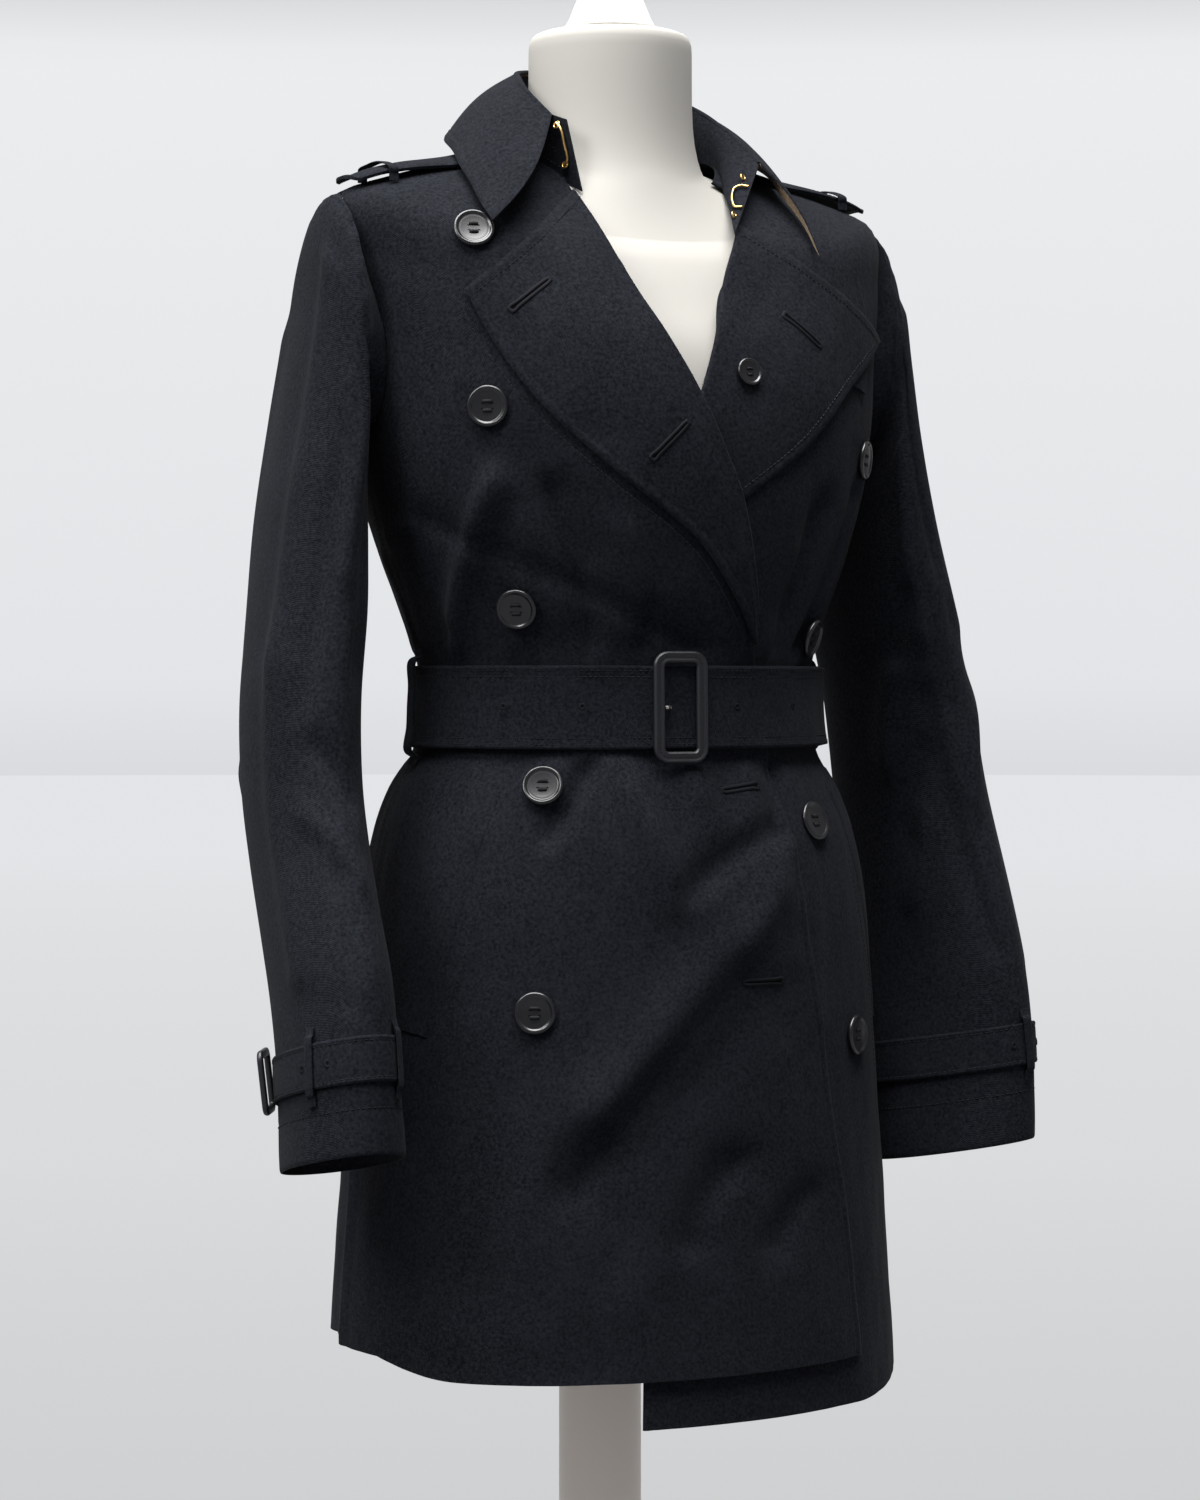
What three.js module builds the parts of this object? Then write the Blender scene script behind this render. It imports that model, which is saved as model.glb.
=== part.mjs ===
// A short belted double breasted trench coat, open at the throat, on a limbless dress form.
// Millimetres, +Z up. The wearer faces -Y, so the wearer's right is -X.
// The origin is on the pole's axis, where the base disc stands on the floor.
import * as THREE from 'three';

// Driving dimensions
const WALL = 1.4;
const SEAM_GAP = 0.3;
const LAYER_STEP = 1.0;
const BELT_WIDTH = 50;
const BELT_THICK = 2.0;
const BUTTON_DIAMETER = 24;
const LAPEL_BUTTON_DIAMETER = 16.5;
const SIDE_SEAM = 92;
const NECK_RADIUS = 49.5;
const NECK_TOP = 1490;
const NECK_CENTRE_Y = -14;
const FORM_BOTTOM = 884;
const POLE_RADIUS = 25;
const BASE_RADIUS = 165;
const BASE_THICK = 16;
const FORM_INSET = 8;
const FORM_SHOULDER_INSET = 0.9;

const CLOTH = { color: 0x1c1d22, roughness: 0.9, metalness: 0 };
const HORN = { color: 0x101013, roughness: 0.35, metalness: 0 };
const LEATHER = { color: 0x17171b, roughness: 0.5, metalness: 0 };
const BRASS = { color: 0xb08d4c, roughness: 0.35, metalness: 1 };
const FORM_COVER = { color: 0xe6e3dc, roughness: 0.8, metalness: 0 };
const WOOD = { color: 0x6b4a30, roughness: 0.5, metalness: 0 };
const STEEL = { color: 0xa09890, roughness: 0.4, metalness: 1 };

// Rings of the body, from below the hem to the neck seam.
// level names the ring; front, side and back are its heights there; half is its half width;
// deepFront and deepBack are its depths from centreY; power is its squareness.
const BODY_COLUMNS = ['level', 'front', 'side', 'back', 'half', 'deepFront', 'deepBack', 'centreY', 'power'];
const BODY_ROWS = [
  [640, 640, 640, 640, 178, 130, 124, -18, 2.15],
  [700, 700, 700, 700, 175, 130, 122, -18, 2.15],
  [800, 800, 800, 800, 168, 128, 118, -18, 2.15],
  [900, 900, 900, 900, 160, 124, 112, -19, 2.15],
  [965, 965, 965, 965, 156, 119, 106, -19, 2.15],
  [1010, 1010, 1010, 1010, 148, 112, 98, -20, 2.1],
  [1035, 1035, 1035, 1035, 139, 105, 90, -20, 2.05],
  [1056, 1056, 1056, 1056, 127, 98, 82, -20, 2.0],
  [1084, 1084, 1084, 1084, 123, 95, 78, -20, 2.0],
  [1112, 1112, 1112, 1112, 124, 97, 79, -20, 2.0],
  [1140, 1140, 1140, 1140, 132, 103, 86, -20, 2.05],
  [1175, 1175, 1175, 1175, 145, 110, 96, -19, 2.1],
  [1215, 1215, 1215, 1215, 157, 114, 104, -18, 2.15],
  [1255, 1255, 1255, 1255, 163, 113, 108, -17, 2.2],
  [1300, 1294, 1300, 1300, 168, 106, 110, -15, 2.25],
  [1345, 1324, 1345, 1345, 174, 96, 106, -12, 2.3],
  [1387, 1350, 1384, 1380, 173, 86, 96, -10, 2.3],
  [1405, 1361, 1397, 1398, 140, 79, 84, -10, 2.2],
  [1420, 1371, 1407, 1415, 104, 71, 70, -10, 2.1],
  [1436, 1383, 1418, 1433, 66, 62, 54, -10, 2.0],
  [1450, 1392, 1426, 1446, 62, 58, 50, -10, 2.0],
];

// The largest folds. Each runs from one end to the other in the front view, in x and z;
// width is its half breadth and depth is how far it stands out, or in where negative.
const FOLD_COLUMNS = ['x0', 'z0', 'x1', 'z1', 'width', 'depth'];
const FOLD_ROWS = [
  [-122, 1140, -115, 1214, 11, 5],
  [-62, 1138, -84, 1206, 14, -4],
  [-34, 1138, -44, 1184, 13, 3],
  [68, 1142, 90, 1200, 13, -5],
  [104, 1150, 122, 1198, 12, 3.5],
  [-40, 1030, -14, 974, 15, 3.5],
  [44, 972, -62, 858, 21, 6],
  [24, 922, -72, 812, 18, -4.5],
  [12, 820, -14, 782, 15, -2],
  [70, 800, 46, 770, 14, -2],
];

// Edges of the front panels in the front view. The upper stretch of each is its lapel's roll line.
const EDGE_COLUMNS = ['x', 'z'];
const RIGHT_EDGE = [
  [112, 680], [99, 780], [87, 845], [78, 905], [68, 965], [60, 1021], [55, 1054], [50, 1085],
  [44, 1117], [36, 1158], [24, 1204], [12, 1232], [0, 1259], [-15, 1289], [-30, 1318],
  [-42, 1353], [-49, 1380], [-50, 1397],
];
const LEFT_EDGE = [
  [-40, 660], [-46, 780], [-54, 905], [-60, 1021], [-55, 1054], [-50, 1085], [-44, 1117],
  [-36, 1158], [-24, 1204], [-12, 1232], [0, 1259], [14, 1291], [32, 1335], [52, 1369], [61, 1394],
];
const RIGHT_LAPEL_ROLL = [
  [43, 1122], [36, 1158], [24, 1204], [12, 1232], [0, 1259], [-15, 1289], [-30, 1318],
  [-42, 1353], [-50, 1386],
];
const RIGHT_LAPEL_TIPLINE = [
  [40, 1124], [0, 1177], [-51, 1217], [-90, 1253], [-113, 1288], [-128, 1323],
];
const LEFT_LAPEL_ROLL = [[-34, 1166], [-24, 1204], [0, 1259], [14, 1291], [32, 1335], [51, 1367]];
const LEFT_LAPEL_TIPLINE = [[-28, 1168], [0, 1180], [28, 1205], [70, 1235], [110, 1272], [152, 1307]];
const GUN_FLAP_INNER = [[80, 1288], [82, 1318], [84, 1345]];
const GUN_FLAP_OUTER = [[131, 1272], [137, 1305], [134, 1345]];
const POCKET_OUTER = [[-126, 1046], [-141, 1026], [-150, 994], [-154, 960], [-156, 899]];
const POCKET_INNER = [[-106, 1036], [-116, 1014], [-126, 984], [-137, 941], [-146, 895]];

// Armhole: how far its edge lies from the side seam, in degrees round the body, at each level.
const ARMHOLE_COLUMNS = ['level', 'spread'];
const ARMHOLE_ROWS = [
  [1243, 0], [1250, 9], [1262, 15], [1280, 18], [1300, 19], [1325, 18], [1345, 16], [1366, 12],
  [1380, 8], [1390, 0],
];
const LOWER_LEVELS = [
  750, 800, 840, 875, 910, 945, 977, 1006, 1031, 1054, 1084, 1114, 1134, 1158, 1186, 1215,
];
const UPPER_LEVELS = [1405, 1420, 1436];

// Sleeve rings from the head down. outX, outZ is the ring's outermost point and inX, inZ its
// innermost one, both on the wearer's left; y is its centre; deep is its half depth front to back;
// turn is how far its front swings outward, and tilt how far its front rises, in degrees.
const SLEEVE_COLUMNS = ['outX', 'outZ', 'inX', 'inZ', 'y', 'deep', 'turn', 'tilt'];
const RIGHT_SLEEVE_ROWS = [
  [180, 1384, 171, 1239, -11, 48, 0, 0],
  [186, 1376, 172, 1232, -10, 50, 0, 0],
  [191, 1354, 171, 1224, -8, 53, 0, 0],
  [195, 1318, 168, 1210, -6, 57, 0, 0],
  [203, 1268, 167, 1192, -5, 61, 0, 0],
  [215, 1205, 166, 1168, -7, 62, 0, 0],
  [223, 1147, 167, 1138, -10, 63, 0, 0],
  [231, 1088, 173, 1088, -16, 63, 0, 2],
  [232, 1040, 175, 1040, -22, 63, 0, 6],
  [233, 1000, 177, 1000, -38, 62, 0, 10],
  [234, 960, 178, 960, -58, 61, 0, 13],
  [235, 925, 177, 925, -74, 60, 0, 13],
  [236, 892, 177, 892, -84, 57, 0, 13],
  [237, 867, 177, 867, -89, 56, 0, 13],
  [239, 828, 175, 828, -95, 53, 0, 13],
];
const LEFT_SLEEVE_ROWS = [
  [178, 1381, 171, 1239, -11, 47, 0, 0],
  [182, 1372, 172, 1232, -10, 48, 2, 0],
  [185, 1350, 171, 1224, -9, 51, 3, 0],
  [187, 1316, 168, 1210, -7, 55, 5, 0],
  [193, 1266, 167, 1192, -5, 59, 6, 0],
  [204, 1203, 166, 1168, -5, 62, 8, 0],
  [219, 1140, 169, 1128, -8, 63, 10, 0],
  [230, 1087, 175, 1087, -12, 63, 11, 0],
  [235, 1025, 179, 1025, -21, 63, 13, 3],
  [238, 963, 182, 963, -36, 62, 20, 6],
  [241, 915, 183, 915, -47, 60, 28, 8],
  [243, 881, 182, 881, -53, 58, 34, 9],
  [244, 856, 181, 856, -57, 56, 38, 9],
  [245, 810, 179, 810, -62, 53, 44, 9],
];
// Rows of the sleeve at each cuff strap's edges, columns round it of its buckle and two loops,
// and how far the buckle's frame clears the strap at its middle.
const CUFF_TRIM = {
  right: { rows: [12, 13], buckle: 17, buckleClear: 2.2, loops: [1, 6] },
  left: { rows: [11, 12], buckle: 0, buckleClear: 0.7, loops: [5, 13] },
};

// Collar, from the right front end round the back to the left one, as x, y and z.
const FALL_EDGE = [
  [-112, -92, 1364], [-112, -47, 1399], [-103, -6, 1421], [-76, 38, 1432], [0, 64, 1438],
  [78, 38, 1430], [100, -6, 1419], [98.5, -50, 1396.5], [100, -93, 1354],
];
const COLLAR_RIDGE = [
  [-56, -51, 1432], [-62, -30, 1449], [-57, -6, 1461], [-41, 27, 1471], [0, 45, 1475],
  [46, 27, 1466], [68, 3, 1452], [74, -24, 1436], [80, -56, 1412],
];
const STAND_FOOT = [
  [-46.5, -64, 1394.5], [-60.5, -37, 1412.5], [-65.5, -20, 1419], [-50, 25, 1429.5], [0, 42, 1436],
  [50, 25, 1429.5], [65, -20, 1418.5], [56, -60, 1393.5], [46.5, -91, 1368],
];

// Epaulettes: stations from the collar to the free end, on the wearer's left.
const EPAULETTE_COLUMNS = ['x', 'rise', 'half'];
const EPAULETTE_ROWS = [
  [92, 1.2, 24], [108, 1.6, 23], [124, 3, 22], [140, 4.8, 21], [154, 5.4, 20], [165, 5, 18],
  [171, 4.6, 14], [174, 4.4, 6],
];
const EPAULETTE_LOOP_X = 150;

// Buttons in the front view, with the layer that each is sewn to and how far it clears that
// layer at its middle, so that its rim just clears the cloth.
const BUTTON_COLUMNS = ['name', 'x', 'z', 'layer', 'clear', 'diameter'];
const BUTTON_ROWS = [
  ['button_right_1', -120, 1358, 'right', 0.9, BUTTON_DIAMETER],
  ['button_right_2', -119, 1256, 'right', 0.9, BUTTON_DIAMETER],
  ['button_right_3', -97, 1142, 'right', 0.9, BUTTON_DIAMETER],
  ['button_right_4', -86, 1037, 'right', 0.9, BUTTON_DIAMETER],
  ['button_right_5', -99, 911, 'right', 0.9, BUTTON_DIAMETER],
  ['button_left_2', 133, 1233, 'left', 0.2, BUTTON_DIAMETER],
  ['button_left_3', 96, 1126, 'left', 0.9, BUTTON_DIAMETER],
  ['button_left_4', 84, 1016, 'left', -0.1, BUTTON_DIAMETER],
  ['button_left_5', 112, 889, 'left', 0.9, BUTTON_DIAMETER],
  ['button_lapel', 33, 1278, 'lapelLeft', 0.2, LAPEL_BUTTON_DIAMETER],
];

// Numbers and tables
const radians = (degrees) => degrees * Math.PI / 180;
const clamp01 = (t) => Math.min(1, Math.max(0, t));
const mix = (a, b, t) => a + (b - a) * t;

function smooth(from, to, value) {
  const t = clamp01((value - from) / (to - from));
  return t * t * (3 - 2 * t);
}

function named(columns, rows) {
  return rows.map((row) => Object.fromEntries(columns.map((column, k) => [column, row[k]])));
}

// A smooth curve through a table's rows, read at any value of its first column.
function tableCurve(columns, rows) {
  const key = (i) => rows[i][0];
  const slope = (i, k) => {
    const low = Math.max(0, i - 1);
    const high = Math.min(rows.length - 1, i + 1);
    return (rows[high][k] - rows[low][k]) / (key(high) - key(low));
  };
  return (value) => {
    let i = 0;
    while (i < rows.length - 2 && value > key(i + 1)) i += 1;
    const span = key(i + 1) - key(i);
    const t = clamp01((value - key(i)) / span);
    const a = 2 * t ** 3 - 3 * t ** 2 + 1;
    const b = (t ** 3 - 2 * t ** 2 + t) * span;
    const c = 3 * t ** 2 - 2 * t ** 3;
    const d = (t ** 3 - t ** 2) * span;
    return Object.fromEntries(columns.map((column, k) => [
      column, a * rows[i][k] + b * slope(i, k) + c * rows[i + 1][k] + d * slope(i + 1, k),
    ]));
  };
}

// The place on a line of points at a share t of its length in rows, straight between them.
function alongRows(points, t) {
  const place = clamp01(t) * (points.length - 1);
  const i = Math.min(points.length - 2, Math.floor(place));
  return points[i].clone().lerp(points[i + 1], place - i);
}

function curveThrough(rows) {
  return new THREE.CatmullRomCurve3(rows.map((row) => new THREE.Vector3(...row)), false, 'centripetal');
}

// The body's surface: angle is 0 at centre front and grows toward the wearer's left.
const bodyRing = tableCurve(BODY_COLUMNS, BODY_ROWS);

function bodyPoint(angle, level) {
  const ring = bodyRing(level);
  const c = Math.cos(radians(angle));
  const s = Math.sin(radians(angle));
  const power = 2 / ring.power;
  const deep = c > 0 ? ring.deepFront : ring.deepBack;
  const rise = c > 0 ? ring.front - ring.side : ring.back - ring.side;
  return new THREE.Vector3(
    ring.half * Math.sign(s) * Math.abs(s) ** power,
    ring.centreY - deep * Math.sign(c) * Math.abs(c) ** power,
    ring.side + rise * Math.abs(c) ** 1.5,
  );
}

function bodyNormal(angle, level) {
  const across = bodyPoint(angle + 0.5, level).sub(bodyPoint(angle - 0.5, level));
  const up = bodyPoint(angle, level + 0.5).sub(bodyPoint(angle, level - 0.5));
  return across.cross(up).normalize();
}

// The angle and level of the surface's point whose two given axes have the given values.
function solveSurface(target, axes, start) {
  let { angle, level } = start;
  const [u, w] = axes;
  for (let step = 0; step < 25; step += 1) {
    const p = bodyPoint(angle, level);
    const byAngle = bodyPoint(angle + 0.2, level).sub(p).multiplyScalar(5);
    const byLevel = bodyPoint(angle, level + 0.2).sub(p).multiplyScalar(5);
    const scale = byAngle[u] * byLevel[w] - byLevel[u] * byAngle[w];
    const du = target[0] - p[u];
    const dw = target[1] - p[w];
    angle += 0.7 * (du * byLevel[w] - byLevel[u] * dw) / scale;
    level += 0.7 * (byAngle[u] * dw - du * byAngle[w]) / scale;
  }
  return { angle, level };
}

// The front surface's point seen at x, z in the front view.
function locate(x, z) {
  const angle = Math.asin(Math.max(-0.9, Math.min(0.9, x / 165))) * 180 / Math.PI;
  return solveSurface([x, z], ['x', 'z'], { angle, level: z });
}

function edgeCurve(rows) {
  const places = named(EDGE_COLUMNS, rows).map(({ x, z }) => locate(x, z));
  return tableCurve(['level', 'angle'], places.map(({ angle, level }) => [level, angle]));
}

const rightEdge = edgeCurve(RIGHT_EDGE);
const leftEdge = edgeCurve(LEFT_EDGE);

const FOLDS = named(FOLD_COLUMNS, FOLD_ROWS).map((fold) => ({
  from: locate(fold.x0, fold.z0), to: locate(fold.x1, fold.z1), width: fold.width, depth: fold.depth,
}));
const DEGREE_AT_BODY = 2.5;

function foldHeight(angle, level) {
  let height = 0;
  for (const fold of FOLDS) {
    const ax = (fold.to.angle - fold.from.angle) * DEGREE_AT_BODY;
    const az = fold.to.level - fold.from.level;
    const px = (angle - fold.from.angle) * DEGREE_AT_BODY;
    const pz = level - fold.from.level;
    const t = clamp01((px * ax + pz * az) / (ax * ax + az * az));
    const away = Math.hypot(px - ax * t, pz - az * t) / fold.width;
    height += fold.depth * Math.exp(-away * away);
  }
  return height;
}

function bodyAt(angle, level, lift) {
  const height = lift + foldHeight(angle, level);
  return bodyPoint(angle, level).addScaledVector(bodyNormal(angle, level), height);
}

// Heights of each layer's inner face above the body's surface
const LEFT_LAPEL_LIFT = WALL + LAYER_STEP;
const RIGHT_OVERLAP_LIFT = LEFT_LAPEL_LIFT + WALL + LAYER_STEP;
const SKIRT_OVERLAP_LIFT = WALL + LAYER_STEP;

function rightLift(angle, level) {
  const bodice = smooth(1120, 1148, level) * (1 - smooth(1300, 1400, level));
  const overlap = smooth(-50, -26, angle);
  return overlap * mix(SKIRT_OVERLAP_LIFT * (1 - smooth(1300, 1400, level)), RIGHT_OVERLAP_LIFT, bodice);
}

function leftLapelLift(angle) {
  return LEFT_LAPEL_LIFT + (WALL + 0.9) * smooth(14, 27, angle);
}

// The left front lies slack where the right one hides it.
function leftLift(angle, level) {
  const hidden = 1 - smooth(-9, -1, angle - rightEdge(level).angle);
  return -hidden * (1.5 + Math.max(0, foldHeight(angle, level)));
}

const LAYERS = {
  right: (angle, level) => rightLift(angle, level) + WALL,
  left: () => WALL,
  lapelLeft: (angle) => leftLapelLift(angle) + WALL,
};

// Solids
function meshOf(name, positions, faces, material) {
  const geometry = new THREE.BufferGeometry();
  geometry.setAttribute('position', new THREE.BufferAttribute(new Float32Array(positions), 3));
  geometry.setIndex(faces);
  const mesh = new THREE.Mesh(geometry, new THREE.MeshStandardMaterial(material));
  mesh.name = name;
  return mesh;
}

// A closed wall between two grids of points, turned so that its faces point out.
// With ring set, the last column joins the first.
function wallBetween(name, outer, inner, material, ring = false) {
  const rows = outer.length;
  const columns = outer[0].length;
  const points = [...outer.flat(), ...inner.flat()];
  const at = (side, i, j) => side * rows * columns + i * columns + (j % columns);
  const faces = [];
  const quad = (a, b, c, d) => {
    const short = points[a].distanceTo(points[c]) <= points[b].distanceTo(points[d]);
    faces.push(...(short ? [a, b, c, a, c, d] : [a, b, d, b, c, d]));
  };
  const spans = ring ? columns : columns - 1;
  for (let i = 0; i < rows - 1; i += 1) {
    for (let j = 0; j < spans; j += 1) {
      quad(at(0, i, j), at(0, i, j + 1), at(0, i + 1, j + 1), at(0, i + 1, j));
      quad(at(1, i, j), at(1, i + 1, j), at(1, i + 1, j + 1), at(1, i, j + 1));
    }
  }
  for (let j = 0; j < spans; j += 1) {
    quad(at(0, 0, j), at(1, 0, j), at(1, 0, j + 1), at(0, 0, j + 1));
    quad(at(0, rows - 1, j), at(0, rows - 1, j + 1), at(1, rows - 1, j + 1), at(1, rows - 1, j));
  }
  if (!ring) {
    const end = columns - 1;
    for (let i = 0; i < rows - 1; i += 1) {
      quad(at(0, i, 0), at(0, i + 1, 0), at(1, i + 1, 0), at(1, i, 0));
      quad(at(0, i, end), at(1, i, end), at(1, i + 1, end), at(0, i + 1, end));
    }
  }
  return meshOf(name, points.flatMap((p) => [p.x, p.y, p.z]), outward(points, faces), material);
}

function outward(points, faces) {
  let volume = 0;
  for (let f = 0; f < faces.length; f += 3) {
    const [a, b, c] = [points[faces[f]], points[faces[f + 1]], points[faces[f + 2]]];
    volume += a.dot(b.clone().cross(c));
  }
  if (volume > 0) return faces;
  const turned = [];
  for (let f = 0; f < faces.length; f += 3) turned.push(faces[f], faces[f + 2], faces[f + 1]);
  return turned;
}

function grid(rows, columns, place) {
  return Array.from({ length: rows }, (_, i) => Array.from({ length: columns }, (_, j) => place(i, j)));
}

// The direction square to a grid of points, worked out from each point's neighbours.
function gridNormals(points, ring = false) {
  const rows = points.length;
  const columns = points[0].length;
  return grid(rows, columns, (i, j) => {
    const next = ring ? (j + 1) % columns : Math.min(columns - 1, j + 1);
    const last = ring ? (j + columns - 1) % columns : Math.max(0, j - 1);
    const across = points[i][next].clone().sub(points[i][last]);
    const along = points[Math.min(rows - 1, i + 1)][j].clone().sub(points[Math.max(0, i - 1)][j]);
    return across.cross(along).normalize();
  });
}

// A cloth sheet of a given thickness whose points are its inner face, thickened along their normals.
function clothSheet(name, points, thickness, material) {
  const normals = gridNormals(points);
  const outer = grid(points.length, points[0].length, (i, j) => (
    points[i][j].clone().addScaledVector(normals[i][j], thickness)
  ));
  return wallBetween(name, outer, points, material);
}

// A piece of the body's own wall: place gives each grid point's angle and level, and lift its height.
function bodyPanel(name, rows, columns, place, lift, thickness, material) {
  const spots = grid(rows, columns, place);
  const faceAt = (extra) => spots.map((row) => row.map(({ angle, level, share }) => (
    bodyAt(angle, level, lift(angle, level, share) + extra)
  )));
  return wallBetween(name, faceAt(thickness), faceAt(0), material);
}

// A flat strap whose inner face follows a path. across is its width's direction, and its
// thickness lies on the side that outside points to.
function strap(name, path, across, half, outside, thickness, material) {
  const place = (way) => path.map((p) => [-way, way].map((share) => (
    p.clone().addScaledVector(across, share * half)
  )));
  const middle = Math.floor(path.length / 2);
  const turned = gridNormals(place(1))[middle][0].dot(outside) < 0;
  const points = place(turned ? -1 : 1);
  const normals = gridNormals(points);
  const outer = points.map((row, i) => row.map((p, j) => (
    p.clone().addScaledVector(normals[i][j], thickness)
  )));
  return wallBetween(name, outer, points, material);
}

// A round wire along a smooth line through some points.
function wire(name, rows, radius, steps, material) {
  const path = curveThrough(rows);
  const outline = new THREE.Shape();
  outline.absarc(0, 0, radius, 0, 2 * Math.PI);
  const geometry = new THREE.ExtrudeGeometry(outline, {
    steps, extrudePath: path, curveSegments: 3, bevelEnabled: false,
  });
  const mesh = new THREE.Mesh(geometry, new THREE.MeshStandardMaterial(material));
  mesh.name = name;
  return mesh;
}

// Turns a mesh whose own face is +Z so that it faces along a normal, with its top as near up as can be.
function faceAlong(mesh, point, normal) {
  const up = new THREE.Vector3(0, 0, 1);
  const top = up.addScaledVector(normal, -up.dot(normal)).normalize();
  const side = top.clone().cross(normal);
  mesh.quaternion.setFromRotationMatrix(new THREE.Matrix4().makeBasis(side, top, normal));
  mesh.position.copy(point);
  return mesh;
}

const coat = new THREE.Group();

// Front panels and back
const armholeRows = named(ARMHOLE_COLUMNS, ARMHOLE_ROWS);

function panelLevels() {
  return [
    ...LOWER_LEVELS.map((level) => ({ level, spread: 0 })),
    ...armholeRows,
    ...UPPER_LEVELS.map((level) => ({ level, spread: 0 })),
  ];
}

// Half a seam gap as an angle, at a point of the body.
function seamAngle(angle, level) {
  const speed = bodyPoint(angle + 0.5, level).distanceTo(bodyPoint(angle - 0.5, level));
  return 0.5 * SEAM_GAP / speed + 0.01;
}

function frontPanel(name, side, edge, lift, hem) {
  const levels = [{ level: hem(edge(690).angle), spread: 0 }, ...panelLevels()];
  const columns = 17;
  return bodyPanel(name, levels.length, columns, (i, j) => {
    const { level, spread } = levels[i];
    const from = edge(level).angle;
    const seam = SIDE_SEAM - spread - seamAngle(SIDE_SEAM - spread, level);
    const angle = mix(from, side * seam, j / (columns - 1));
    return { angle, level: i === 0 ? hem(angle) : level };
  }, lift, WALL, CLOTH);
}

const rightHem = (angle) => mix(717, 701, smooth(-92, -50, angle));
const leftHem = (angle) => mix(673, 690, smooth(36, 92, angle));
coat.add(frontPanel('front_right', -1, rightEdge, rightLift, rightHem));
coat.add(frontPanel('front_left', 1, leftEdge, leftLift, leftHem));

const BACK_COLUMNS = 17;
const backLevels = [{ level: 700, spread: 0 }, ...panelLevels()];
coat.add(bodyPanel('back', backLevels.length, BACK_COLUMNS, (i, j) => {
  const { level, spread } = backLevels[i];
  const seam = SIDE_SEAM + spread + seamAngle(SIDE_SEAM + spread, level);
  const angle = mix(seam, 360 - seam, j / (BACK_COLUMNS - 1));
  return { angle, level: i === 0 ? mix(690, 717, j / (BACK_COLUMNS - 1)) : level };
}, () => 0, WALL, CLOTH));

// Lapels, gun flap and pocket welts: sheets between two edge lines given in the front view
function betweenLines(name, innerRows, outerRows, rows, columns, lift, thickness, material) {
  const line = (table) => named(EDGE_COLUMNS, table).map(({ x, z }) => new THREE.Vector3(x, 0, z));
  const innerLine = line(innerRows);
  const outerLine = line(outerRows);
  return bodyPanel(name, rows, columns, (i, j) => {
    const t = i / (rows - 1);
    const share = j / (columns - 1);
    const p = alongRows(innerLine, t).lerp(alongRows(outerLine, t), share);
    return { ...locate(p.x, p.z), share };
  }, lift, thickness, material);
}

const rightLapelLift = (angle, level, share) => (
  rightLift(angle, level) + WALL + 0.7 + (LAYER_STEP + 0.2) * smooth(0, 0.3, share)
);
coat.add(betweenLines(
  'lapel_right', RIGHT_LAPEL_ROLL, RIGHT_LAPEL_TIPLINE, 14, 6, rightLapelLift, WALL, CLOTH,
));
coat.add(betweenLines('lapel_left', LEFT_LAPEL_ROLL, LEFT_LAPEL_TIPLINE, 11, 6, leftLapelLift, WALL, CLOTH));
coat.add(betweenLines('gun_flap', GUN_FLAP_INNER, GUN_FLAP_OUTER, 4, 4, () => WALL + 0.8, WALL, CLOTH));
const mirrorLine = (rows) => rows.map(([x, z]) => [-x, z]);
coat.add(betweenLines('pocket_welt_right', POCKET_OUTER, POCKET_INNER, 8, 4, () => WALL + 1.1, WALL, CLOTH));
coat.add(betweenLines(
  'pocket_welt_left', mirrorLine(POCKET_OUTER), mirrorLine(POCKET_INNER), 8, 4, () => WALL + 1.1, WALL, CLOTH,
));

// Sleeves
const armholeLine = [
  ...armholeRows.slice().reverse().map((row) => ({ ...row, way: -1 })),
  ...armholeRows.slice(1, -1).map((row) => ({ ...row, way: 1 })),
];
const ARMHOLE_MIDDLE = 1316.5;
const ARMHOLE_HALF = 73.5;

function ringAngle({ level, way }) {
  const angle = Math.acos(Math.max(-1, Math.min(1, (level - ARMHOLE_MIDDLE) / ARMHOLE_HALF)));
  return way < 0 ? angle : 2 * Math.PI - angle;
}

// One side's sleeve surface: side is -1 for the wearer's right. Ring 0 lies in the armhole.
function sleeveSurface(side, rows) {
  const rings = named(SLEEVE_COLUMNS, rows);
  const middle = bodyPoint(side * SIDE_SEAM, ARMHOLE_MIDDLE);
  return (row, column, lift) => {
    const spot = armholeLine[column];
    if (row === 0) {
      const angle = side * (SIDE_SEAM + spot.way * spot.spread);
      const rim = bodyAt(angle, spot.level, WALL * 0.9);
      const inward = middle.clone().sub(rim).setX(0).normalize();
      return rim.addScaledVector(inward, 0.6 + SEAM_GAP - lift);
    }
    const ring = rings[row - 1];
    const turn = radians(ring.turn);
    const tilt = radians(ring.tilt);
    const phi = ringAngle(spot);
    const outX = (ring.outX - ring.inX) / 2;
    const outZ = (ring.outZ - ring.inZ) / 2;
    const long = Math.hypot(outX, outZ);
    const centre = new THREE.Vector3(side * (ring.outX + ring.inX) / 2, ring.y, (ring.outZ + ring.inZ) / 2);
    const outDirection = new THREE.Vector3(
      side * outX * Math.cos(turn), outX * Math.sin(turn), outZ,
    ).normalize();
    const frontDirection = new THREE.Vector3(side * Math.sin(turn), -Math.cos(turn), 0)
      .multiplyScalar(Math.cos(tilt)).add(new THREE.Vector3(0, 0, Math.sin(tilt)));
    return centre.addScaledVector(outDirection, (long + lift) * Math.cos(phi))
      .addScaledVector(frontDirection, (ring.deep + lift) * Math.sin(phi));
  };
}

const sleeveRight = sleeveSurface(-1, RIGHT_SLEEVE_ROWS);
const sleeveLeft = sleeveSurface(1, LEFT_SLEEVE_ROWS);

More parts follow.
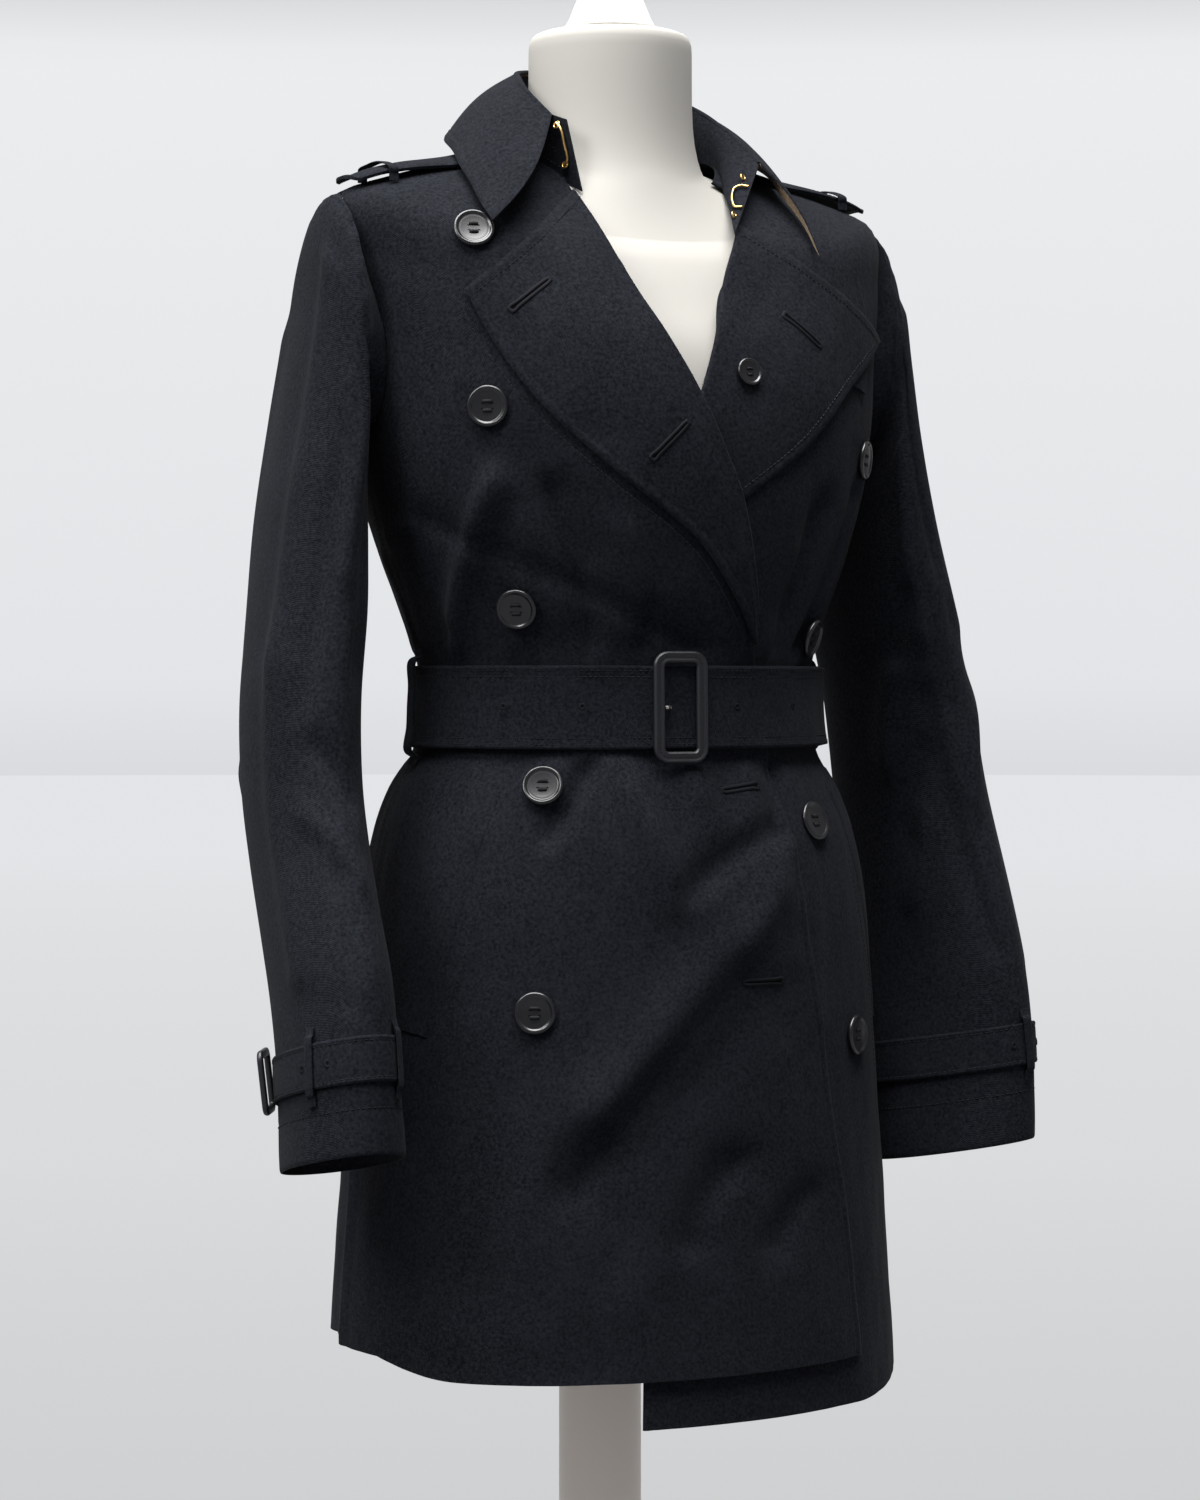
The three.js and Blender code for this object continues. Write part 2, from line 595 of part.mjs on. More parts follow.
function sleeve(name, surface, rows) {
  const columns = armholeLine.length;
  const outer = grid(rows, columns, (i, j) => surface(i, j, 0));
  const inner = grid(rows, columns, (i, j) => surface(i, j, -WALL));
  return wallBetween(name, outer, inner, CLOTH, true);
}

coat.add(sleeve('sleeve_right', sleeveRight, RIGHT_SLEEVE_ROWS.length + 1));
coat.add(sleeve('sleeve_left', sleeveLeft, LEFT_SLEEVE_ROWS.length + 1));

// Cuff straps with their covered buckles and loops
const CUFF_BUCKLE_TALL = 37;
const CUFF_BUCKLE_WIDE = 30;
const CUFF_STRAP_LIFT = 0.8;

function roundedFrame(wide, tall, bar, corner, thick) {
  const rectangle = (shape, halfX, halfY, r) => {
    shape.moveTo(-halfX + r, -halfY);
    shape.lineTo(halfX - r, -halfY);
    shape.absarc(halfX - r, -halfY + r, r, -Math.PI / 2, 0);
    shape.lineTo(halfX, halfY - r);
    shape.absarc(halfX - r, halfY - r, r, 0, Math.PI / 2);
    shape.lineTo(-halfX + r, halfY);
    shape.absarc(-halfX + r, halfY - r, r, Math.PI / 2, Math.PI);
    shape.lineTo(-halfX, -halfY + r);
    shape.absarc(-halfX + r, -halfY + r, r, Math.PI, 1.5 * Math.PI);
  };
  const shape = new THREE.Shape();
  rectangle(shape, wide / 2, tall / 2, corner);
  const hole = new THREE.Path();
  rectangle(hole, wide / 2 - bar, tall / 2 - bar, Math.max(1, corner - bar * 0.8));
  shape.holes.push(hole);
  return new THREE.ExtrudeGeometry(shape, { depth: thick, bevelEnabled: false, curveSegments: 3 });
}

function cuffTrim(label, surface, { rows, buckle, buckleClear, loops }) {
  const columns = armholeLine.length;
  const [top, low] = rows.map((row) => row + 1);
  const between = (t, column, lift) => surface(top, column, lift).lerp(surface(low, column, lift), t);
  const outer = grid(3, columns, (i, j) => between(i / 2, j, CUFF_STRAP_LIFT + WALL));
  const inner = grid(3, columns, (i, j) => between(i / 2, j, CUFF_STRAP_LIFT));
  coat.add(wallBetween(`cuff_strap_${label}`, outer, inner, CLOTH, true));

  const strapFace = CUFF_STRAP_LIFT + WALL;
  const normal = between(0.5, buckle, 10).sub(between(0.5, buckle, 0)).normalize();
  const frame = new THREE.Mesh(
    roundedFrame(CUFF_BUCKLE_WIDE, CUFF_BUCKLE_TALL, 5, 6, 3.5), new THREE.MeshStandardMaterial(LEATHER),
  );
  frame.name = `cuff_buckle_${label}`;
  coat.add(faceAlong(frame, between(0.5, buckle, strapFace + buckleClear), normal));

  loops.forEach((column, k) => {
    const stations = [[-0.36, 0.7], [-0.08, strapFace + 0.8], [1.08, strapFace + 0.8], [1.36, 0.7]];
    const path = stations.map(([t, lift]) => between(t, column, lift));
    const side = surface(top, column + 1, 0).sub(surface(top, column - 1, 0)).normalize();
    const outside = between(0.5, column, 10).sub(between(0.5, column, 0));
    coat.add(strap(`cuff_loop_${label}_${k + 1}`, path, side, 3.2, outside, 1.2, CLOTH));
  });
}

cuffTrim('right', sleeveRight, CUFF_TRIM.right);
cuffTrim('left', sleeveLeft, CUFF_TRIM.left);

// Collar
const COLLAR_STATIONS = 25;
const RIDGE_GAP = 2.2;

function collarLine(rows) {
  const curve = curveThrough(rows);
  return Array.from({ length: COLLAR_STATIONS }, (_, i) => curve.getPoint(i / (COLLAR_STATIONS - 1)));
}

const ridgeLine = collarLine(COLLAR_RIDGE);
const fallLine = collarLine(FALL_EDGE);
const footLine = collarLine(STAND_FOOT);
const neckAxis = new THREE.Vector3(0, NECK_CENTRE_Y, 1420);

const FALL_COLUMNS = 6;
const END_BOW = 13;

// How far the leaf's right end bows out past a straight line from ridge to tip
function endBow(i, t) {
  if (i > 1) return new THREE.Vector3();
  const reach = (i === 0 ? 1 : 0.4) * END_BOW * Math.sin(Math.PI * t);
  return ridgeLine[0].clone().sub(ridgeLine[1]).normalize().multiplyScalar(reach);
}

const fallGrid = ridgeLine.map((ridge, i) => Array.from({ length: FALL_COLUMNS }, (_, j) => {
  const t = j / (FALL_COLUMNS - 1);
  const away = ridge.clone().sub(neckAxis).setZ(0).normalize();
  const bulge = 5 * Math.sin(Math.PI * t);
  return ridge.clone().lerp(fallLine[i], t).add(endBow(i, t))
    .addScaledVector(away, bulge * 0.6 + 1.7).add(new THREE.Vector3(0, 0, bulge * 0.8));
}));
const STAND_COLUMNS = 4;
// The band's right end reaches past the leaf's end at the top
const STAND_AHEAD = 9;
const standGrid = ridgeLine.map((ridge, i) => Array.from({ length: STAND_COLUMNS }, (_, j) => {
  const t = j / (STAND_COLUMNS - 1);
  const down = footLine[i].clone().sub(ridge).normalize();
  const ahead = i === 0 ? STAND_AHEAD * (1 - t) : 0;
  return ridge.clone().addScaledVector(down, RIDGE_GAP).lerp(footLine[i], t)
    .add(new THREE.Vector3(0.4 * ahead, -0.9 * ahead, 0));
}));
coat.add(clothSheet('collar_fall', fallGrid, WALL, CLOTH));
coat.add(clothSheet('collar_stand', standGrid, WALL, CLOTH));

// Epaulettes with their keeper loops, arched off the shoulder
const EPAULETTE_THICK = 2.2;

function shoulderPoint(side, x, y) {
  const start = { angle: side * 90, level: mix(1387, 1436, clamp01((173 - x) / 107)) };
  const { angle, level } = solveSurface([side * x, y], ['x', 'y'], start);
  return bodyAt(angle, level, WALL);
}

function epaulette(label, side) {
  const rows = named(EPAULETTE_COLUMNS, EPAULETTE_ROWS);
  const centreY = NECK_CENTRE_Y + 4;
  const points = rows.map(({ x, rise, half }) => [-1, -0.5, 0, 0.5, 1].map((share) => {
    const p = shoulderPoint(side, Math.min(x, 168), centreY + share * half);
    p.x = side * x;
    p.z += rise;
    return p;
  }));
  coat.add(clothSheet(`epaulette_${label}`, side > 0 ? points.reverse() : points, EPAULETTE_THICK, CLOTH));

  const at = rows.find(({ x }) => x >= EPAULETTE_LOOP_X);
  const reach = at.half + 2.5;
  const over = at.rise + EPAULETTE_THICK + 1.4;
  const stations = [
    [-reach - 1, 1.4], [-reach, over], [-reach / 2, over], [0, over], [reach / 2, over], [reach, over],
    [reach + 1, 1.4],
  ];
  const path = stations.map(([y, rise]) => {
    const p = shoulderPoint(side, EPAULETTE_LOOP_X, centreY + y);
    p.z += rise;
    return p;
  });
  coat.add(strap(
    `epaulette_loop_${label}`, path, new THREE.Vector3(1, 0, 0), 3, new THREE.Vector3(0, 0, 1), 1.2, CLOTH,
  ));
}

epaulette('right', -1);
epaulette('left', 1);

// Buttons
function buttonGeometry(diameter) {
  const r = diameter / 2;
  const outline = [[0, 0], [r * 0.86, 0], [r, 1.2], [r, 2.6], [r * 0.88, 3.4], [r * 0.72, 2.5], [0, 2.3]];
  return new THREE.LatheGeometry(outline.map(([x, y]) => new THREE.Vector2(x, y)), 12).rotateX(Math.PI / 2);
}

for (const button of named(BUTTON_COLUMNS, BUTTON_ROWS)) {
  const { angle, level } = locate(button.x, button.z);
  const point = bodyAt(angle, level, LAYERS[button.layer](angle, level) + button.clear);
  const mesh = new THREE.Mesh(buttonGeometry(button.diameter), new THREE.MeshStandardMaterial(HORN));
  mesh.name = button.name;
  coat.add(faceAlong(mesh, point, bodyNormal(angle, level)));
}

// Belt: it starts behind the buckle, goes round by the wearer's left and laps over its own start
const BELT_START = 2;
const BELT_TURN = 360 + 108;
const BELT_LOW = 1059;
const BELT_STEPS = 72;
const BELT_LIFT = SKIRT_OVERLAP_LIFT + WALL + 1.0;
const BELT_TAIL_LIFT = BELT_LIFT + BELT_THICK + 0.9;

function beltLift(turned) {
  return mix(BELT_LIFT, BELT_TAIL_LIFT, smooth(335, 352, turned));
}

function beltPoint(turned, up, extra) {
  const tail = beltLift(turned) + extra;
  return bodyAt(BELT_START + turned, BELT_LOW + up, tail);
}

const beltGrid = (extra) => grid(2, BELT_STEPS + 1, (i, j) => (
  beltPoint(BELT_TURN * j / BELT_STEPS, BELT_WIDTH * i, extra)
));
coat.add(wallBetween('belt', beltGrid(BELT_THICK), beltGrid(0), CLOTH));

const BUCKLE_WIDE = 34;
const BUCKLE_TALL = 65;
const BUCKLE_BAR = 7;
const BUCKLE_CORNER = 9;
const BUCKLE_THICK = 3.6;
const BUCKLE_ANGLE = -4.5;
const beltFace = BELT_TAIL_LIFT + BELT_THICK;
const buckleNormal = bodyNormal(BUCKLE_ANGLE, BELT_LOW + BELT_WIDTH / 2);
const beltBuckle = new THREE.Mesh(
  roundedFrame(BUCKLE_WIDE, BUCKLE_TALL, BUCKLE_BAR, BUCKLE_CORNER, BUCKLE_THICK),
  new THREE.MeshStandardMaterial(LEATHER),
);
beltBuckle.name = 'belt_buckle';
const bucklePlace = bodyAt(BUCKLE_ANGLE, BELT_LOW + BELT_WIDTH / 2, beltFace + 1.8);
coat.add(faceAlong(beltBuckle, bucklePlace, buckleNormal));

const prong = new THREE.Mesh(new THREE.BoxGeometry(14, 3, 1.6), new THREE.MeshStandardMaterial(STEEL));
prong.name = 'belt_prong';
coat.add(faceAlong(prong, bucklePlace.clone().addScaledVector(buckleNormal, 1.0)
  .add(new THREE.Vector3(-2, 0, 0)), buckleNormal));

// Belt loops at the side seams, over the belt
function beltLoop(name, angle, face) {
  const high = face + 1.9;
  const top = BELT_WIDTH;
  const stations = [[-10, 2.4], [-3.5, high * 0.6], [-2, high], [top / 2, high], [top + 2, high],
    [top + 3.5, high * 0.6], [top + 10, 2.4]];
  const path = stations.map(([up, lift]) => bodyAt(angle, BELT_LOW + up, lift));
  const side = bodyPoint(angle + 1, BELT_LOW).sub(bodyPoint(angle - 1, BELT_LOW)).normalize();
  coat.add(strap(name, path, side, 5.5, bodyNormal(angle, BELT_LOW + BELT_WIDTH / 2), 1.6, CLOTH));
}

beltLoop('belt_loop_right', -90, BELT_LIFT + BELT_THICK);
beltLoop('belt_loop_left', 90, BELT_TAIL_LIFT + BELT_THICK);

// Brass hook and eye at the collar's ends
const WIRE_RADIUS = 0.8;
const EYE_LINE = [
  [-55.4, -54.6, 1428.5], [-53.8, -57.9, 1424.3], [-52.4, -59.5, 1415.1], [-51.1, -60.6, 1406.1],
  [-52.1, -57.9, 1402.9],
];
const HOOK_LINE = [
  [64.3, -71.1, 1396], [60.8, -68.2, 1396.8], [57, -67.3, 1395.2], [53.8, -70.2, 1391],
  [51.6, -74.4, 1386.5], [51, -79.2, 1382.3], [54, -82.3, 1382],
];
coat.add(wire('collar_eye', EYE_LINE, WIRE_RADIUS, 12, BRASS));
coat.add(wire('collar_hook', HOOK_LINE, WIRE_RADIUS, 16, BRASS));

// Dress form, its cap and its stand
const FORM_LEVELS = [
  890, 940, 990, 1035, 1084, 1130, 1175, 1220, 1260, 1300, 1335, 1362, 1384, 1398, 1411,
];
const FORM_COLUMNS = 26;

function formInset(angle, level) {
  const onShoulder = smooth(0.8, 0.98, Math.abs(Math.sin(radians(angle))));
  const seat = smooth(1372, 1386, level) * (1 - smooth(1396, 1404, level)) * onShoulder;
  return mix(FORM_INSET, FORM_SHOULDER_INSET, seat);
}

function formRing(level) {
  return Array.from({ length: FORM_COLUMNS }, (_, j) => {
    const angle = 360 * j / FORM_COLUMNS;
    return bodyPoint(angle, level).addScaledVector(bodyNormal(angle, level), -formInset(angle, level));
  });
}

function neckRing(radius, height, slope) {
  return Array.from({ length: FORM_COLUMNS }, (_, j) => {
    const angle = radians(360 * j / FORM_COLUMNS);
    const z = height - slope * Math.cos(angle);
    return new THREE.Vector3(radius * Math.sin(angle), NECK_CENTRE_Y - radius * Math.cos(angle), z);
  });
}

function closedStack(name, rings, material) {
  const count = rings[0].length;
  const points = rings.flat();
  const ends = [rings[0], rings[rings.length - 1]].map((ring) => (
    ring.reduce((sum, p) => sum.add(p), new THREE.Vector3()).divideScalar(count)
  ));
  points.push(...ends);
  const faces = [];
  for (let i = 0; i < rings.length - 1; i += 1) {
    for (let j = 0; j < count; j += 1) {
      const k = (j + 1) % count;
      const [a, b, c, d] = [i * count + j, i * count + k, (i + 1) * count + k, (i + 1) * count + j];
      faces.push(a, b, c, a, c, d);
    }
  }
  const lowEnd = rings.length * count;
  for (let j = 0; j < count; j += 1) {
    const k = (j + 1) % count;
    const last = (rings.length - 1) * count;
    faces.push(lowEnd, k, j, lowEnd + 1, last + j, last + k);
  }
  return meshOf(name, points.flatMap((p) => [p.x, p.y, p.z]), outward(points, faces), material);
}

const BOTTOM_TAPER = 0.93;
const bottomRing = formRing(FORM_LEVELS[0]).map((p) => (
  new THREE.Vector3(p.x * BOTTOM_TAPER, (p.y + 18) * BOTTOM_TAPER - 18, FORM_BOTTOM)
));
coat.add(closedStack('form_torso', [
  bottomRing,
  ...FORM_LEVELS.map(formRing),
  neckRing(NECK_RADIUS + 8, 1411, 18.5),
  neckRing(NECK_RADIUS + 3.5, 1422, 15),
  neckRing(NECK_RADIUS + 0.5, 1438, 8),
  neckRing(NECK_RADIUS, 1482, 0),
  neckRing(NECK_RADIUS - 2.4, 1487.6, 0),
  neckRing(NECK_RADIUS - 8, NECK_TOP, 0),
], FORM_COVER));

function turned(name, outline, centreY, material) {
  const geometry = new THREE.LatheGeometry(outline.map(([r, z]) => new THREE.Vector2(r, z)), 26);
  const mesh = new THREE.Mesh(geometry.rotateX(Math.PI / 2), new THREE.MeshStandardMaterial(material));
  mesh.position.y = centreY;
  mesh.name = name;
  return mesh;
}

const DISC_TOP = NECK_TOP + SEAM_GAP + 3;
coat.add(turned('neck_disc', [
  [0, NECK_TOP + SEAM_GAP], [19, NECK_TOP + SEAM_GAP], [19, DISC_TOP], [0, DISC_TOP],
], NECK_CENTRE_Y, WOOD));
coat.add(turned('neck_finial', [
  [0, DISC_TOP + SEAM_GAP], [28, DISC_TOP + SEAM_GAP], [28, DISC_TOP + 2], [22, DISC_TOP + 14],
  [17, DISC_TOP + 26], [15.5, DISC_TOP + 32], [11, DISC_TOP + 37], [0, DISC_TOP + 39],
], NECK_CENTRE_Y, FORM_COVER));
coat.add(turned('pole', [
  [0, BASE_THICK + SEAM_GAP], [POLE_RADIUS, BASE_THICK + SEAM_GAP],
  [POLE_RADIUS, FORM_BOTTOM - SEAM_GAP], [0, FORM_BOTTOM - SEAM_GAP],
], 0, STEEL));
coat.add(turned('base', [
  [0, 0], [BASE_RADIUS, 0], [BASE_RADIUS, BASE_THICK - 3], [BASE_RADIUS - 3, BASE_THICK],
  [0, BASE_THICK],
], 0, STEEL));

export default coat;
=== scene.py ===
# The shot: a long lens at the height of the waist, a little to the wearer's right of the front,
# in a pale room with soft light from above and from the left.
import math

import bpy
import numpy as np
from mathutils import Matrix


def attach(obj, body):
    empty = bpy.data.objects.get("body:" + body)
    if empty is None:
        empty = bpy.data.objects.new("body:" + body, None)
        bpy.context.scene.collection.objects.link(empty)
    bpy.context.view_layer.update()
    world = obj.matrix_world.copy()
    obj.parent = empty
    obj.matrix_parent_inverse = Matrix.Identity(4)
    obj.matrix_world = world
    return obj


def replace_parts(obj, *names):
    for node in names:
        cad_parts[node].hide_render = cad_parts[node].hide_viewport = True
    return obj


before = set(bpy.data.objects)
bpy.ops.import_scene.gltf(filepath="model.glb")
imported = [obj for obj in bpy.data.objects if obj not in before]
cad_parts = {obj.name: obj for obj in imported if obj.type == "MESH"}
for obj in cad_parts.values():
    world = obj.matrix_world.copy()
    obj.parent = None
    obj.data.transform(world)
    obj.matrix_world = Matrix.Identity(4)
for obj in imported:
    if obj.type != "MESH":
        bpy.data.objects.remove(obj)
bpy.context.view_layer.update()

MM = 0.001
FRAME_TALL = 1500
FOCAL_PIXELS = 3608
HORIZON_ROW = 680
CAMERA_AWAY = 2.2
CAMERA_HIGH = 1.1
CAMERA_TURN = math.radians(26)

camera_data = bpy.data.cameras.new("camera")
camera_data.sensor_width = 36
camera_data.lens = 36 * FOCAL_PIXELS / FRAME_TALL
camera_data.shift_y = (HORIZON_ROW - FRAME_TALL / 2) / FRAME_TALL
camera = bpy.data.objects.new("camera", camera_data)
camera.location = (
    -CAMERA_AWAY * math.sin(CAMERA_TURN), -CAMERA_AWAY * math.cos(CAMERA_TURN), CAMERA_HIGH,
)
camera.rotation_euler = (math.pi / 2, 0, -CAMERA_TURN)
bpy.context.collection.objects.link(camera)
bpy.context.scene.camera = camera
bpy.context.scene.view_settings.view_transform = "Standard"


class Nodes:
    """A material's nodes. add makes one from its type, its settings and its sockets' values."""

    def __init__(self, tree):
        self.tree = tree

    def add(self, kind, settings=None, sockets=None, output=0):
        """A new node's chosen output. The setting stops gives a ramp's places and colours."""
        node = self.tree.nodes.new(kind)
        for name, value in (settings or {}).items():
            if name == "stops":
                ramp = node.color_ramp
                for position, colour in value[1:-1]:
                    ramp.elements.new(position).color = (*colour, 1)
                for element, (position, colour) in ((0, value[0]), (-1, value[-1])):
                    ramp.elements[element].position = position
                    ramp.elements[element].color = (*colour, 1)
            else:
                setattr(node, name, value)
        for name, value in (sockets or {}).items():
            if isinstance(value, Value):
                self.tree.links.new(value.socket, node.inputs[name])
            else:
                node.inputs[name].default_value = value
        return Value(self, node.outputs[output]) if len(node.outputs) else node


class Value:
    """A shader socket. Sums and products of it add Math nodes."""

    def __init__(self, nodes, socket):
        self.nodes = nodes
        self.socket = socket

    def math(self, operation, *others):
        """A Math node of this value and the others."""
        values = dict(enumerate((self, *others)))
        return self.nodes.add("ShaderNodeMath", {"operation": operation}, values)

    def __add__(self, other):
        return self.math("ADD", other)

    def __sub__(self, other):
        return self.math("SUBTRACT", other)

    def __mul__(self, other):
        return self.math("MULTIPLY", other)

    __radd__ = __add__
    __rmul__ = __mul__

    def __rsub__(self, other):
        return self * -1.0 + other


world = bpy.data.worlds.new("pale room")
world.use_nodes = True
sky = Nodes(world.node_tree)
direction = sky.add("ShaderNodeTexCoord", output=0)
height = sky.add("ShaderNodeSeparateXYZ", sockets={"Vector": direction}, output=2)
ahead = (math.sin(CAMERA_TURN), math.cos(CAMERA_TURN), 0)
forward = sky.add("ShaderNodeVectorMath", {"operation": "DOT_PRODUCT"}, {0: direction, 1: ahead}, output=1)
LIT_WALL = [
    (0.0, (0.2, 0.2, 0.21)), (0.45, (0.5, 0.51, 0.53)), (0.5, (0.765, 0.78, 0.8)),
    (0.585, (0.83, 0.845, 0.86)), (0.61, (0.4, 0.4, 0.41)), (1.0, (0.4, 0.4, 0.41)),
]
DIM_WALL = [(0.0, (0.05, 0.05, 0.05)), (0.5, (0.17, 0.17, 0.18)), (1.0, (0.36, 0.36, 0.37))]
lit_wall, dim_wall = (
    sky.add("ShaderNodeValToRGB", {"stops": stops}, {"Fac": height * 0.5 + 0.5})
    for stops in (LIT_WALL, DIM_WALL)
)
TOP_LIGHT_FROM = (-0.12, -0.08, 0.99)
TOP_LIGHT_STRENGTH = 16.0
upward = sky.add(
    "ShaderNodeVectorMath", {"operation": "DOT_PRODUCT"}, {0: direction, 1: TOP_LIGHT_FROM}, output=1)
top_light = sky.add("ShaderNodeMapRange", {"interpolation_type": "SMOOTHSTEP"}, {
    "Value": upward, "From Min": 0.86, "From Max": 0.94, "To Min": 0.0, "To Max": TOP_LIGHT_STRENGTH,
})
room = sky.add("ShaderNodeMix", {"data_type": "RGBA"}, {
    "Factor": sky.add("ShaderNodeMapRange", {"interpolation_type": "SMOOTHSTEP"}, {
        "Value": forward, "From Min": 0.4, "From Max": 0.96}),
    "A": dim_wall, "B": lit_wall,
}, output=2)
sky_colour = sky.add("ShaderNodeMix", {"data_type": "RGBA", "blend_type": "ADD"}, {
    "Factor": 1.0, "A": room, "B": top_light,
}, output=2)
world.node_tree.links.new(sky_colour.socket, world.node_tree.nodes["Background"].inputs["Color"])
bpy.context.scene.world = world


def plain_material(name, colour, roughness, **more):
    """A Principled material of one colour; more gives other sockets, with _ for each space."""
    material = bpy.data.materials.new(name)
    material.use_nodes = True
    shader = material.node_tree.nodes["Principled BSDF"]
    shader.inputs["Base Color"].default_value = (*colour, 1)
    shader.inputs["Roughness"].default_value = roughness
    for socket, value in more.items():
        shader.inputs[socket.replace("_", " ")].default_value = value
    return material


def soft_lamp(name, place, wide, tall, watts, aim=(0, 0, 1.05)):
    """An area lamp at a place in metres, turned towards a point on the coat."""
    data = bpy.data.lights.new(name, "AREA")
    data.shape, data.size, data.size_y = "RECTANGLE", wide, tall
    data.energy = watts
    lamp = bpy.data.objects.new(name, data)
    back = np.array(place, float) - np.array(aim, float)
    back /= np.linalg.norm(back)
    side = np.cross((0, 0, 1), back)
    side /= np.linalg.norm(side)
    lamp.matrix_world = Matrix([
        (side[0], np.cross(back, side)[0], back[0], place[0]),
        (side[1], np.cross(back, side)[1], back[1], place[1]),
        (side[2], np.cross(back, side)[2], back[2], place[2]), (0, 0, 0, 1),
    ])
    bpy.context.collection.objects.link(lamp)


soft_lamp("window", (-1.7, -0.5, 2.3), 0.8, 0.8, 27)
soft_lamp("ceiling", (-0.35, -0.45, 2.7), 1.5, 1.1, 10)
soft_lamp("fill", (2.2, -2.6, 1.4), 1.6, 1.8, 0.1)


def quads_object(name, points, quads, materials, corner_uv=None, face_material=None, sharp=50):
    """A mesh object from points in millimetres and four-cornered faces."""
    mesh = bpy.data.meshes.new(name)
    mesh.from_pydata((points * MM).tolist(), [], quads.tolist())
    for material in materials:
        mesh.materials.append(material)
    if face_material is not None:
        mesh.polygons.foreach_set("material_index", face_material.astype(np.int32))
    if corner_uv is not None:
        layer = mesh.uv_layers.new(name="cloth")
        layer.uv.foreach_set("vector", (corner_uv * MM).astype(np.float32).ravel())
    mesh.shade_smooth()
    mesh.set_sharp_from_angle(angle=math.radians(sharp))
    mesh.update()
    piece = bpy.data.objects.new(name, mesh)
    bpy.context.collection.objects.link(piece)
    return piece


floor_angles = np.linspace(0, 2 * np.pi, 49)[:-1]
floor_rings = np.array([0.001, 3, 12, 40]) * 1000
floor_points = np.stack([
    floor_rings[:, None] * np.cos(floor_angles), floor_rings[:, None] * np.sin(floor_angles),
    np.full((4, 48), -1.0),
], -1).reshape(-1, 3)
floor_quads = np.array([
    [i * 48 + j, i * 48 + (j + 1) % 48, (i + 1) * 48 + (j + 1) % 48, (i + 1) * 48 + j]
    for i in range(3) for j in range(48)
])[:, ::-1]
pale_floor = plain_material(
    "pale floor", (0.3, 0.3, 0.31), 0.9, Specular_IOR_Level=0.0, Emission_Strength=1.0,
)
floor_nodes = Nodes(pale_floor.node_tree)
floor_place = floor_nodes.add("ShaderNodeTexCoord", output=3)
floor_away = floor_nodes.add(
    "ShaderNodeVectorMath", {"operation": "DOT_PRODUCT"}, {0: floor_place, 1: ahead}, output=1)
floor_far = floor_away * 0.05
floor_shader = pale_floor.node_tree.nodes["Principled BSDF"]
for name, stops in (
    ("Base Color", [(0.0, (0.13, 0.13, 0.134)), (0.03, (0.13, 0.13, 0.134)), (0.12, (0.0, 0.0, 0.0)),
                    (1.0, (0.0, 0.0, 0.0))]),
    ("Emission Color", [(0.0, (0.0, 0.0, 0.0)), (0.04, (0.0, 0.0, 0.0)), (0.125, (0.62, 0.63, 0.64)),
                        (0.3, (0.7, 0.71, 0.72)), (1.0, (0.765, 0.78, 0.8))]),
):
    value = floor_nodes.add("ShaderNodeValToRGB", {"stops": stops}, {"Fac": floor_far})
    pale_floor.node_tree.links.new(value.socket, floor_shader.inputs[name])
quads_object("floor", floor_points, floor_quads, [pale_floor])

# The coat's body: two fronts and a back of dense midnight cotton twill, cut to meet at the
# side seams, with the right front over the left. Each is one wall 1.4 mm thick whose shape is
# a table of rings round the figure, the folds that the belt draws in, and rolled sewn edges.
WALL = 1.4
LAYER_STEP = 1.0
SIDE_SEAM = 92
SEAM_GAP = 0.3

# level, front, side, back, half, deep front, deep back, centre y, power
BODY_ROWS = np.array([
    [640, 640, 640, 640, 178, 130, 124, -18, 2.15], [700, 700, 700, 700, 175, 130, 122, -18, 2.15],
    [800, 800, 800, 800, 168, 128, 118, -18, 2.15], [900, 900, 900, 900, 160, 124, 112, -19, 2.15],
    [965, 965, 965, 965, 156, 119, 106, -19, 2.15],
    [1010, 1010, 1010, 1010, 148, 112, 98, -20, 2.1],
    [1035, 1035, 1035, 1035, 139, 105, 90, -20, 2.05],
    [1056, 1056, 1056, 1056, 127, 98, 82, -20, 2.0],
    [1084, 1084, 1084, 1084, 123, 95, 78, -20, 2.0],
    [1112, 1112, 1112, 1112, 124, 97, 79, -20, 2.0],
    [1140, 1140, 1140, 1140, 132, 103, 86, -20, 2.05],
    [1175, 1175, 1175, 1175, 145, 110, 96, -19, 2.1],
    [1215, 1215, 1215, 1215, 157, 114, 104, -18, 2.15],
    [1255, 1255, 1255, 1255, 163, 113, 108, -17, 2.2],
    [1300, 1294, 1300, 1300, 168, 106, 110, -15, 2.25],
    [1345, 1324, 1345, 1345, 174, 96, 106, -12, 2.3],
    [1387, 1350, 1384, 1380, 173, 86, 96, -10, 2.3],
    [1405, 1361, 1397, 1398, 140, 79, 84, -10, 2.2],
    [1420, 1371, 1407, 1415, 104, 71, 70, -10, 2.1],
    [1436, 1383, 1418, 1433, 66, 62, 54, -10, 2.0],
    [1450, 1392, 1426, 1446, 62, 58, 50, -10, 2.0],
])


def smooth(low, high, value):
    """0 below low, 1 above high, and 3t^2 - 2t^3 between them."""
    t = np.clip((np.asarray(value, float) - low) / (high - low), 0, 1)
    return t * t * (3 - 2 * t)


def mix(a, b, t):
    """a where t is 0 and b where it is 1."""
    return a + (b - a) * t


